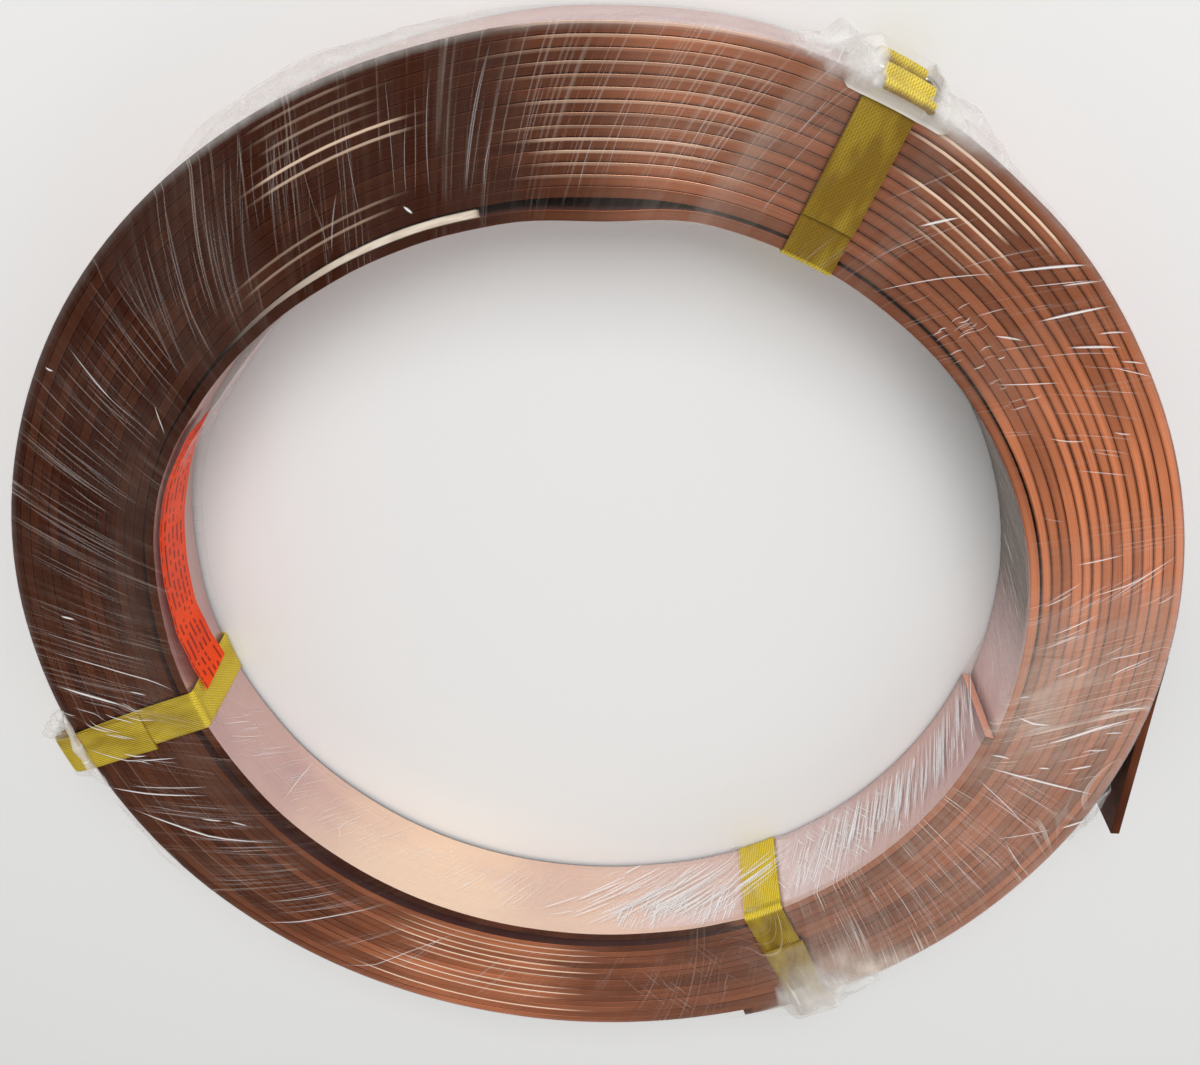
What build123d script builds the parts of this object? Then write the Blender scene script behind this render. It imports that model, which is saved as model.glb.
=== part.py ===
from build123d import *
import os
from math import asin, cos, degrees, radians, sin, sqrt

# A flat copper strip wound into a ring that lies on one end, with three corded straps looped round the
# ring's section, a wire buckle under each, a paper label in the bore and a sleeve of stretch film over all.
# The coil's axis is +Z. Lengths are in millimetres and angles in degrees, counted from +X towards +Y.

# Strip: it starts at the inner end and winds outwards clockwise, as seen from above
strip_width = 38.0
strip_thickness = 3.0
turn_gap = 0.2
full_turns = 15
bore_radius = 146.4
edge_crown = 0.5
inner_end_angle = -14.3
outer_end_angle = -70.8
loose_gap = 3.0

# Free end that stands off the rim
tongue_angle = 0.0
tongue_length = 80.0
tongue_lean = 0.6
tongue_root = 0.3

# Straps
strap_width = 16.0
strap_thickness = 0.9
strap_corner = 1.3
upper_strap_angle = 64.7
left_strap_angle = 194.5
lower_strap_angle = -61.4
upper_lap_start = 161.0
left_lap_start = 172.0
lower_lap_start = 176.0
lap_tail = 5.0

# Wire buckle
wire_diameter = 2.6
buckle_width = 24.0
buckle_height = 20.0
buckle_corner = 3.0
wire_sides = 8

# Label: its middle's height over the ring's lower end, and how far its later end hangs down
label_thickness = 0.2
label_height = 20.5
label_start_angle = 148.0
label_end_angle = 190.6
label_rise = 21.2
label_lean = 3.0
label_gap = 0.3

# Stretch film
film_thickness = 0.25
film_gap = 0.3
film_bevel = 0.8
slot_start = 19.0
slot_end = 52.0
slot_clearance = 0.4

# Clearance between pieces that lie on each other
seat_gap = 0.1

# Cutting shapes: how far they reach past what they cut, and places sampled along a curved face
cut_margin = 10.0
samples = 8

pitch = strip_thickness + turn_gap
wire_radius = wire_diameter / 2
bottom = film_thickness + seat_gap + strap_thickness + seat_gap
top = bottom + strip_width
middle = (bottom + top) / 2
overlap_sweep = inner_end_angle - outer_end_angle
up = Axis((0, 0, 0), (0, 0, 1))


def circle_reach(radius, shift, angle):
    """Distance from the axis to a circle whose centre is shifted towards the inner end's angle."""
    turned = radians(angle - inner_end_angle)
    return shift * cos(turned) + sqrt(radius**2 - (shift * sin(turned)) ** 2)


def is_first_half(angle):
    """The first half turn runs clockwise from the inner end."""
    return (inner_end_angle - angle) % 360 < 180


def bore_reach(angle):
    """Distance from the axis to the loose turn's inner face."""
    if is_first_half(angle):
        return circle_reach(bore_radius + pitch / 4 - loose_gap / 2, loose_gap / 2 - pitch / 4, angle)
    return circle_reach(bore_radius + 3 * pitch / 4 - loose_gap / 2, loose_gap / 2 + pitch / 4, angle)


def rim_reach(angle):
    """Distance from the axis to the coil's outer face."""
    outermost = bore_radius + full_turns * pitch + strip_thickness
    if not is_first_half(angle):
        return circle_reach(outermost - pitch / 4, pitch / 4, angle)
    if (inner_end_angle - angle) % 360 < overlap_sweep:
        return circle_reach(outermost + pitch / 4, -pitch / 4, angle)
    return circle_reach(outermost - 3 * pitch / 4, -pitch / 4, angle)


def stack_profile(start, turns):
    """Half section of turns that lie on each other: each edge is crowned, with a valley between neighbours."""
    upper = [(start, top - edge_crown)]
    for turn in range(turns):
        face = start + turn * pitch
        is_last = turn == turns - 1
        upper.append((face + strip_thickness / 2, top))
        upper.append((face + strip_thickness + (0 if is_last else turn_gap / 2), top - edge_crown))
    points = [Vector(x, 0, z) for x, z in upper]
    points += [Vector(x, 0, bottom + top - z) for x, z in reversed(upper)]
    return make_face(Polyline(*points, close=True))


def half_turned(profile, shift, direction, sweep=180):
    """Turn a half section about an axis that is shifted along +X."""
    return revolve(profile, Axis((shift, 0, 0), (0, 0, direction)), sweep)


def wound_coil():
    """Half turns about two centres a half pitch apart, so that each turn runs on into the next."""
    first_shift = -pitch / 4
    second_shift = pitch / 4
    stack_turns = full_turns - 1
    outermost = bore_radius + full_turns * pitch
    coil = half_turned(stack_profile(bore_radius + pitch, stack_turns), first_shift, -1)
    coil += half_turned(stack_profile(bore_radius + 2 * pitch, stack_turns), second_shift, 1)
    coil += half_turned(stack_profile(bore_radius, 1), first_shift + loose_gap / 2, -1)
    coil += half_turned(stack_profile(bore_radius + pitch, 1), second_shift + loose_gap / 2, 1)
    coil += half_turned(stack_profile(outermost - pitch, 2), first_shift, -1, overlap_sweep)
    return coil.rotate(Axis.Z, inner_end_angle)


def free_end():
    """Straight end of strip that leaves the rim along a tangent."""
    outside = rim_reach(tongue_angle)
    blade = Pos(outside - strip_thickness / 2, -tongue_length / 2, middle) * Box(
        strip_thickness, tongue_length, strip_width
    )
    blade = blade.rotate(Axis((outside, 0, 0), (0, 0, 1)), tongue_lean)
    rim = bore_radius + full_turns * pitch + strip_thickness - pitch / 4 - tongue_root
    centre = Pos(pitch / 4 * cos(radians(inner_end_angle)), pitch / 4 * sin(radians(inner_end_angle)), middle)
    return (blade - centre * Cylinder(rim, strip_width + cut_margin)).rotate(Axis.Z, tongue_angle)


def copper_strip():
    return wound_coil() + free_end()


def strap_bounds(angle):
    """Inner and outer face of the strap's first layer, which lies flat across the ring's curved faces."""
    half_span = degrees(asin(strap_width / 2 / bore_reach(angle)))
    turns = [half_span * step / samples for step in range(-samples, samples + 1)]
    inner_face = min(bore_reach(angle + turn) * cos(radians(turn)) for turn in turns)
    outer_face = max(rim_reach(angle + turn) * cos(radians(turn)) for turn in turns)
    return inner_face - seat_gap - strap_thickness, outer_face + seat_gap + strap_thickness


def section_plane(x, z):
    """The ring's section plane, seen from the -Y side, with its origin moved to a place in it."""
    return Plane((x, 0, z), x_dir=(1, 0, 0), z_dir=(0, -1, 0))


def section_box(low_x, high_x, low_z, high_z, corner):
    """Rounded rectangle in the ring's section plane."""
    centre = section_plane((low_x + high_x) / 2, (low_z + high_z) / 2)
    return centre * RectangleRounded(high_x - low_x, high_z - low_z, corner)


def bevelled_box(low_x, high_x, low_z, high_z, bevel):
    """Rectangle with cut corners in the ring's section plane."""
    centre = section_plane((low_x + high_x) / 2, (low_z + high_z) / 2)
    box = Rectangle(high_x - low_x, high_z - low_z)
    return centre * chamfer(box.vertices(), bevel)


def across(section, width):
    """Give a section a width, half to each side of the section plane."""
    return extrude(section, width / 2, both=True)


def wire_places(angle):
    """Centres of the buckle's two cross wires on the rim."""
    outer_face = strap_bounds(angle)[1]
    reach = outer_face + seat_gap + wire_radius
    spread = buckle_height / 2 - wire_radius
    return [(reach, middle + spread), (reach, middle - spread)]


def disc(place, radius):
    return section_plane(*place) * Circle(radius)


def lap_section(angle, lap_start):
    """Second layer: along the upper face, down the rim and over the buckle's cross wires."""
    low_x, high_x = strap_bounds(angle)
    low_z = bottom - seat_gap - strap_thickness
    high_z = top + seat_gap + strap_thickness
    grown = strap_thickness
    first = section_box(low_x, high_x, low_z, high_z, strap_corner)
    second = section_box(low_x - grown, high_x + grown, low_z - grown, high_z + grown, strap_corner + grown)
    wires = wire_places(angle)
    lap_bottom = wires[1][1] - wire_radius - lap_tail
    for place in wires:
        second += disc(place, wire_radius + seat_gap + strap_thickness)
    kept = section_box(lap_start, high_x + cut_margin, lap_bottom, high_z + cut_margin, strap_thickness / 2)
    second = (second & kept) - first
    for place in wires:
        second -= disc(place, wire_radius + seat_gap)
    return second


def strap(angle, lap_start):
    """Closed loop round the ring's section with its lapped second layer."""
    low_x, high_x = strap_bounds(angle)
    low_z = bottom - seat_gap - strap_thickness
    high_z = top + seat_gap + strap_thickness
    wall = strap_thickness
    outline = section_box(low_x, high_x, low_z, high_z, strap_corner)
    inside = section_box(low_x + wall, high_x - wall, low_z + wall, high_z - wall, strap_corner - wall)
    loop = across(outline - inside, strap_width)
    lap = across(lap_section(angle, lap_start), strap_width)
    return (loop + lap).rotate(Axis.Z, angle)


def buckle(angle):
    """Closed frame of bent wire that stands against the strap on the rim."""
    reach = wire_places(angle)[0][0]
    frame_plane = Plane((reach, 0, middle), x_dir=(0, 1, 0), z_dir=(1, 0, 0))
    path = frame_plane * RectangleRounded(
        buckle_width - wire_diameter, buckle_height - wire_diameter, buckle_corner
    )
    start = Plane((reach, 0, middle + buckle_height / 2 - wire_radius), x_dir=(1, 0, 0), z_dir=(0, 1, 0))
    return sweep(start * RegularPolygon(wire_radius, wire_sides), path.wire()).rotate(Axis.Z, angle)


def label():
    """Paper band that lies in the bore against the loose turn, a little askew."""
    half_sweep = (label_end_angle - label_start_angle) / 2
    angle = label_start_angle + half_sweep
    turns = [half_sweep * step / samples for step in range(-samples, samples + 1)]
    outer = min(bore_reach(angle + turn) for turn in turns) - label_gap
    height = bottom + label_rise
    section = section_plane(outer - label_thickness / 2, height) * Rectangle(label_thickness, label_height)
    band = revolve(section, up, 2 * half_sweep).rotate(Axis.Z, -half_sweep)
    askew = band.rotate(Axis((0, 0, height), (1, 0, 0)), -label_lean)
    return askew.rotate(Axis.Z, angle)


straps = {
    "strap_upper": (upper_strap_angle, upper_lap_start),
    "strap_left": (left_strap_angle, left_lap_start),
    "strap_lower": (lower_strap_angle, lower_lap_start),
}


def film_swell(angle, lap_start, inset):
    """Block over a strap's lap and buckle, smaller by the inset on each outer side."""
    low_x = lap_start - film_bevel - film_gap + inset
    wire_reach, wire_height = wire_places(angle)[1]
    high_x = wire_reach + wire_radius + seat_gap + strap_thickness + film_gap + film_thickness - inset
    low_z = wire_height - wire_radius - lap_tail - film_gap - film_thickness + inset
    high_z = top + seat_gap + 2 * strap_thickness + film_gap + film_thickness - inset
    section = bevelled_box(low_x, high_x, low_z, high_z, film_bevel)
    width = buckle_width + 2 * (film_gap + film_thickness - inset)
    return across(section, width).rotate(Axis.Z, angle)


def film_body(inset):
    """Ring that holds strip, straps and buckles, smaller by the inset on every side."""
    bounds = [strap_bounds(angle) for angle, lap_start in straps.values()]
    low_x = min(low for low, high in bounds) - seat_gap - film_thickness + inset
    rims = [sqrt(high**2 + (strap_width / 2) ** 2) for low, high in bounds]
    high_x = max(rims) + film_gap + film_thickness - inset
    high_z = top + seat_gap + strap_thickness + film_gap + film_thickness - inset
    ring = revolve(bevelled_box(low_x, high_x, inset, high_z, film_bevel), up, 360)
    for angle, lap_start in straps.values():
        ring += film_swell(angle, lap_start, inset)
    return ring


def stretch_film():
    """Thin sleeve round everything, open where the free end of the strip comes out."""
    sleeve = film_body(0) - film_body(film_thickness)
    slot_low_x = rim_reach(tongue_angle) - strip_thickness - slot_clearance
    slot_high_x = slot_low_x + cut_margin
    slot_middle_y = -(slot_start + slot_end) / 2
    slot = Pos((slot_low_x + slot_high_x) / 2, slot_middle_y, middle) * Box(
        slot_high_x - slot_low_x, slot_end - slot_start, top - bottom + 2 * slot_clearance
    )
    return sleeve - slot.rotate(Axis.Z, tongue_angle)


os.makedirs("parts", exist_ok=True)
export_step(copper_strip(), "parts/copper_strip.step")
for name, (angle, lap_start) in straps.items():
    export_step(strap(angle, lap_start), f"parts/{name}.step")
    export_step(buckle(angle), f"parts/{name.replace('strap', 'buckle')}.step")
export_step(label(), "parts/paper_label.step")
export_step(stretch_film(), "parts/stretch_film.step")
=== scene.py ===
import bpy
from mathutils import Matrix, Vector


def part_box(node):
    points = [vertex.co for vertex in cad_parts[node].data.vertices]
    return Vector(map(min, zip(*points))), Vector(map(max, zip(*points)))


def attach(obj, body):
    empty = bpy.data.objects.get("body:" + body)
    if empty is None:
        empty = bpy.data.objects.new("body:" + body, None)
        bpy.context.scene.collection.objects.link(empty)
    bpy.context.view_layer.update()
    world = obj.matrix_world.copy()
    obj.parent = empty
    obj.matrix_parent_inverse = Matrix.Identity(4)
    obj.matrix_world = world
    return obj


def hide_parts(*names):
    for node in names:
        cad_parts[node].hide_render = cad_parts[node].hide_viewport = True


bl_info = {
    "name": "Copper strip coil",
    "version": (1, 0, 0),
    "blender": (4, 5, 0),
    "location": "3D View > Sidebar > Strip Coil",
    "description": "Dresses the packed coil with its winding, straps, wire buckles, label and stretch film",
    "category": "Object",
}

import bisect
import math
import random
from collections import namedtuple

import bmesh
import bpy
from bpy.props import FloatProperty, FloatVectorProperty, IntProperty, PointerProperty
from mathutils import Matrix, Vector, noise

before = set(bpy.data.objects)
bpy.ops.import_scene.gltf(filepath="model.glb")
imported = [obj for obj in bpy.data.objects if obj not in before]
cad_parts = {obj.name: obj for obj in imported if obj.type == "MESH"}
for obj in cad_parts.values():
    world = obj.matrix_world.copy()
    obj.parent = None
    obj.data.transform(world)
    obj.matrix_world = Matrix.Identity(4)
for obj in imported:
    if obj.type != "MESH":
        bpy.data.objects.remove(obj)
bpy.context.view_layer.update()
copper_low, copper_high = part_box("copper_strip")
MM = 0.001

# Heights of the strip's lower edge, upper edge and middle line, and its width, in millimetres
BASE = copper_low.z / MM
TOP = copper_high.z / MM
MIDDLE = (copper_low.z + copper_high.z) / 2 / MM
STRIP_WIDTH = (copper_high.z - copper_low.z) / MM

# Places on the ring: angles in degrees, counted from +X towards +Y, and reaches from the axis in millimetres
INNER_END = -14.3
OUTER_END = -70.8
WHOLE_TURNS = 15
LAID_TURNS = WHOLE_TURNS + (INNER_END - OUTER_END) / 360
BORE_SIDE = 147
RIM_SIDE = 197

# How far the stack of turns bulges from a true spiral, how far its inner turns do besides, and how far the
# innermost turn hangs off it
RIM_WAVE = (
    (-71, 2.8), (-50, 1.2), (-30, 0.3), (0, -0.4), (30, -0.5), (50, 1.1), (62, 2.6), (75, 3.3), (90, 1.7),
    (105, 0.2), (120, 0.1), (150, 0.7), (180, 1.5), (200, 2.0), (220, 3.2), (240, 3.5), (262, 3.3),
    (289, 2.8),
)
INNER_WAVE = (
    (80, 0.0), (90, -0.5), (99, 0.1), (110, 0.5), (138, 0.6), (145, 1.1), (152, 2.1), (158, 2.4),
    (164, 2.1), (172, 1.4), (180, 1.0), (190, 0.7), (200, 0.3), (212, 0.0),
)
LOOSE_SLACK = (
    (-374, 0.0), (-360, 0.7), (-330, 0.5), (-300, 0.8), (-284, 1.0), (-272, 3.5), (-260, 2.7), (-250, 2.6),
    (-240, 2.2), (-230, 1.5), (-220, 0.7), (-200, 0.2), (-180, 1.5), (-150, 3.5), (-130, 4.2), (-100, 4.0),
    (-82, 3.4), (-70, 2.4), (-58, 0.3), (-14, 0.0),
)
# Share of painted shade round the ring, on the strip's edges and on the face in the bore: the copper is
# painted lit or shaded as the light falls on it
EDGE_SHADE = (
    (-60, 0.56), (-50, 0.56), (-40, 0.44), (-30, 0.3), (-20, 0.4), (0, 0.32), (10, 0.1), (20, 0.0),
    (30, 0.2), (42, 0.5), (55, 0.62), (72, 0.52), (82, 0.44), (91, 0.82), (100, 1.0), (160, 0.97),
    (205, 0.89), (228, 0.8), (240, 0.62), (250, 0.42), (260, 0.46), (270, 0.76), (282, 0.74), (297, 0.7),
)
# On the rolled face the painted shade falls to nothing near 242 degrees, where a painted highlight lies
WALL_SHADE = (
    (-60, 0.6), (-40, 0.75), (-20, 0.85), (0, 0.9), (40, 0.9), (140, 0.8), (200, 0.85), (212, 0.8),
    (222, 0.5), (232, 0.18), (242, 0.0), (252, 0.08), (262, 0.28), (275, 0.28), (297, 0.4),
)
# How strongly painted shade darkens the strip's edges beside the gap lines, round the ring
GAP_LINE_SHADE = (
    (-60, 0.05), (-40, 0.22), (-10, 0.25), (8, 0.75), (20, 1.0), (40, 0.8), (60, 0.85), (75, 0.5),
    (92, 0.7), (110, 0.3), (140, 0.15), (190, 0.15), (230, 0.1), (265, 0.1), (290, 0.03),
)
# Where a painted highlight runs along some turns' outer edge: angle, half spread, turns' numbers and
# strengths
GLINTS = (
    (255, 15, (
        (1, 0.6), (2, 0.75), (3, 0.75), (4, 1.0), (5, 1.0), (6, 0.65), (8, 0.85), (9, 1.0), (10, 0.8),
        (12, 1.0),
    )),
    (113, 10, ((9, 0.85), (8, 0.6))),
    (114, 6, ((13, 0.25), (12, 0.25), (11, 0.35), (10, 0.2))),
    (120, 10, ((3, 0.32), (2, 0.4))),
    (54, 8, ((13, 1.0), (12, 0.9), (9, 0.9))),
    (54, 5, ((11, 0.8), (10, 0.9), (8, 0.6), (7, 0.6), (6, 0.4))),
    (85, 12, (
        (2, 0.2), (3, 0.3), (4, 0.5), (5, 0.55), (6, 0.2), (7, 0.2), (8, 0.35), (9, 0.3), (10, 0.2),
        (11, 0.28), (12, 0.16), (13, 0.35), (14, 0.5),
    )),
    (206, 22, ((12, 0.1), (10, 0.12), (6, 0.08))),
)

# The label: angles of its ends, its middle line's height, how far its upper edge stands off the innermost
# turn and how much further its lower edge does, its length along the bore and its thickness, in millimetres
LABEL_FIRST = 149.4
LABEL_LAST = 191.9
LABEL_MIDDLE = ((148, 26.2), (160, 26.0), (170, 27.0), (180, 25.8), (186, 24.6), (192, 22.3))
LABEL_STAND = ((148, 2.0), (160, 1.3), (170, 1.9), (180, 2.1), (187, 3.1), (192, 3.4))
LABEL_LEAN = ((148, 0.0), (160, 1.1), (170, 0.6), (180, 0.0))
LABEL_LENGTH = 108
LABEL_THICKNESS = 0.12

# The free end's length off the rim in millimetres, and its lean away from the tangent in degrees
FREE_END_LENGTH = 80
FREE_END_LEAN = 0.6

# Straps: angle, skew across the face, skew of the lap and slip round the rim in degrees, reach of the lap's
# end and how far the strap's fold stands off the rim in millimetres, and the share of painted shade on it
Strap = namedtuple("Strap", "angle skew lap_skew slip lap_start fold soil")
STRAPS = {
    "upper": Strap(angle=64.7, skew=0.6, lap_skew=0.0, slip=-1.1, lap_start=161.0, fold=0.0, soil=1.0),
    "left": Strap(angle=193.6, skew=2.6, lap_skew=1.0, slip=0.0, lap_start=168.0, fold=6.0, soil=0.6),
    "lower": Strap(angle=-61.6, skew=-0.8, lap_skew=0.6, slip=0.0, lap_start=165.0, fold=6.0, soil=0.85),
}
# Space between a strap's loop and the ring's faces and sides, and between its two layers, in millimetres
STRAP_REST = 0.1
STRAP_SIDE_REST = 0.15
LAP_REST = 0.02
# The wire buckle's outer size and inner bend, and how much further its lower side stands off the rim than its
# upper side, in millimetres
BUCKLE_WIDTH = 24
BUCKLE_HEIGHT = 20
BUCKLE_CORNER = 3.0
BUCKLE_TILT = 2.2

# Tones that no setting holds
TONES = {
    "slit_streak": (0.05, 0.018, 0.012, 1),
    "groove_shade": (0.125, 0.036, 0.017, 1),
    "roll_mark": (0.60, 0.30, 0.22, 1),
    "buried_face_shade": (0.085, 0.030, 0.026, 1),
    "fresh_cut": (1.0, 0.50, 0.33, 1),
    "torn_cut": (0.95, 0.38, 0.24, 1),
    "free_end_shade": (0.14, 0.055, 0.032, 1),
    "free_end_deep_shade": (0.045, 0.018, 0.012, 1),
    "cord_groove_shade": (0.12, 0.062, 0.002, 1),
    "bright_wire": (0.62, 0.61, 0.58, 1),
    "dull_wire": (0.38, 0.37, 0.35, 1),
    "creased_paper": (0.86, 0.06, 0.008, 1),
    "fold_highlight": (0.99, 0.98, 0.97, 1),
    "film_crease": (0.99, 0.97, 0.96, 1),
}
# Tones of film that is drawn tight: in painted light, in painted shade and in the painted shade of its folds
DRAWN_TONES = {
    "film_over_gap": ((0.78, 0.68, 0.55, 1), (0.34, 0.26, 0.21, 1), (0.44, 0.30, 0.22, 1)),
    "film_collar": ((0.72, 0.69, 0.63, 1), (0.50, 0.46, 0.38, 1), (0.62, 0.58, 0.52, 1)),
}

# Camera's place over the coil in metres, its right and forward directions, its lens and sensor in millimetres
CAMERA_PLACE = (0.0198, 0.2340, 0.3703)
CAMERA_RIGHT = (0.9989, 0.0, -0.0461)
CAMERA_FORWARD = (-0.0400, -0.4959, -0.8674)
CAMERA_LENS = 35.21
CAMERA_SENSOR = 36
# Soft lamps: name, place, target and size in metres, and power in watts
LAMPS = (
    ("right_soft_lamp", (0.95, -0.55, 1.15), (0.1, 0, 0), 0.9, 1.5),
    ("front_soft_lamp", (0.1, 1.3, 1.5), (0, 0, 0), 1.2, 25),
    ("far_soft_lamp", (-0.2, -1.5, 1.1), (0, 0, 0), 0.8, 1.2),
)
FLOOR_HALF_WIDTH = 3.0


def smooth_between(points, at):
    """Value between control points, with a level slope at each."""
    places = [place for place, value in points]
    after = bisect.bisect_right(places, at)
    if after == 0 or after == len(points):
        return points[0 if after == 0 else -1][1]
    (low, low_value), (high, high_value) = points[after - 1], points[after]
    share = (at - low) / (high - low)
    share = share * share * (3 - 2 * share)
    return low_value + (high_value - low_value) * share


def round_the_ring(points, angle):
    """As smooth_between, for control points that close on themselves after a full turn."""
    first = points[0][0]
    at = (angle - first) % 360 + first
    return smooth_between(points + ((first + 360, points[0][1]),), at)


def step(low, high, value):
    """Smooth rise from 0 at low to 1 at high, or a fall where low is the greater."""
    share = min(1.0, max(0.0, (value - low) / (high - low)))
    return share * share * (3 - 2 * share)


def apart(angle, other):
    """Signed difference of two angles, from -180 to 180."""
    return (angle - other + 180) % 360 - 180


def ring_point(reach, angle, height):
    turned = math.radians(angle)
    return Vector((reach * math.cos(turned), reach * math.sin(turned), height)) * MM


class WindingSettings(bpy.types.PropertyGroup):
    bore: FloatProperty(
        name="Bore radius", description="Inner radius of the innermost turn", default=0.1464, unit="LENGTH"
    )
    thickness: FloatProperty(
        name="Strip thickness", description="Thickness of the strip", default=0.00314, unit="LENGTH"
    )
    gap: FloatProperty(
        name="Turn gap", description="Space between two turns", default=0.00006, unit="LENGTH"
    )
    rounding: FloatProperty(
        name="Edge rounding", description="Radius of the strip's edges", default=0.00022, unit="LENGTH"
    )
    unevenness: FloatProperty(
        name="Unevenness", description="How far one turn stands above the next", default=0.0005, unit="LENGTH"
    )
    steps: IntProperty(name="Steps per turn", description="Mesh steps in a full turn", default=180, min=24)
    # The slit edge where the light falls, and below it the same edge in painted shade
    bright: FloatVectorProperty(
        name="Bright copper", description="Slit edge where the light falls", subtype="COLOR", size=4,
        default=(0.76, 0.255, 0.115, 1),
    )
    shaded_copper: FloatVectorProperty(
        name="Shaded copper", description="Slit edge in painted shade", subtype="COLOR", size=4,
        default=(0.066, 0.0165, 0.0075, 1),
    )
    # The rolled face where the light falls, and below it the same face in painted shade
    face: FloatVectorProperty(
        name="Rolled face", description="Wide face of the strip", subtype="COLOR", size=4,
        default=(1.0, 0.76, 0.58, 1),
    )
    shaded_face: FloatVectorProperty(
        name="Shaded face", description="Wide face in painted shade", subtype="COLOR", size=4,
        default=(0.56, 0.355, 0.365, 1),
    )
    # Colour of the painted highlight along the turns' edges
    glinting: FloatVectorProperty(
        name="Painted glint", description="Painted highlight along an edge", subtype="COLOR", size=4,
        default=(1.0, 0.72, 0.52, 1),
    )
    seed: IntProperty(name="Seed", description="Unevenness of burnished turns", default=5)


class StrapSettings(bpy.types.PropertyGroup):
    width: FloatProperty(
        name="Strap width", description="Width of the strapping", default=0.016, unit="LENGTH"
    )
    thickness: FloatProperty(
        name="Strap thickness", description="Thickness of the strapping", default=0.0009, unit="LENGTH"
    )
    colour: FloatVectorProperty(
        name="Strapping", description="Colour of clean cords", subtype="COLOR", size=4,
        default=(0.93, 0.71, 0.06, 1),
    )
    # The strapping in painted shade, used on its upward faces
    worn: FloatVectorProperty(
        name="Shaded strapping", description="Colour of soiled cords", subtype="COLOR", size=4,
        default=(0.225, 0.130, 0.008, 1),
    )
    wire: FloatProperty(
        name="Buckle wire", description="Diameter of the buckle's wire", default=0.0026, unit="LENGTH"
    )


class LabelSettings(bpy.types.PropertyGroup):
    width: FloatProperty(
        name="Label width", description="Width of the paper band", default=0.0205, unit="LENGTH"
    )
    colour: FloatVectorProperty(
        name="Label", description="Colour of the paper", subtype="COLOR", size=4,
        default=(1.0, 0.075, 0.001, 1),
    )
    print_colour: FloatVectorProperty(
        name="Bars", description="Colour of the plain bars", subtype="COLOR", size=4,
        default=(0.24, 0.01, 0.005, 1),
    )


class FilmSettings(bpy.types.PropertyGroup):
    stand_off: FloatProperty(
        name="Stand-off", description="Film's height over the strip", default=0.0003, unit="LENGTH"
    )
    steps: IntProperty(name="Steps round", description="Mesh steps round the ring", default=900, min=90)
    clear: FloatProperty(
        name="Clear haze", description="Cover of clear film", subtype="FACTOR", default=0.004, min=0, max=1
    )
    colour: FloatVectorProperty(
        name="Film", description="Colour of film over the copper", subtype="COLOR", size=4,
        default=(0.82, 0.70, 0.60, 1),
    )
    rosy: FloatVectorProperty(
        name="Film in the bore", description="Colour of film over the rolled face", subtype="COLOR", size=4,
        default=(0.94, 0.80, 0.79, 1),
    )
    gathered: FloatVectorProperty(
        name="Gathered film", description="Colour of bunched film", subtype="COLOR", size=4,
        default=(0.88, 0.86, 0.83, 1),
    )
    shaded: FloatVectorProperty(
        name="Shaded film", description="Colour of film that hangs before the bore", subtype="COLOR", size=4,
        default=(0.24, 0.22, 0.19, 1),
    )
    seed: IntProperty(name="Seed", description="Choice of fine creases", default=11)


class StageSettings(bpy.types.PropertyGroup):
    floor: FloatVectorProperty(
        name="Floor", description="Colour of the floor", subtype="COLOR", size=4,
        default=(0.80, 0.80, 0.79, 1),
    )
    world: FloatProperty(name="World", description="Strength of the even light", default=0.5, min=0)
    lamps: FloatProperty(name="Lamps", description="Share of the lamps' full power", default=1.0, min=0)


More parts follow.
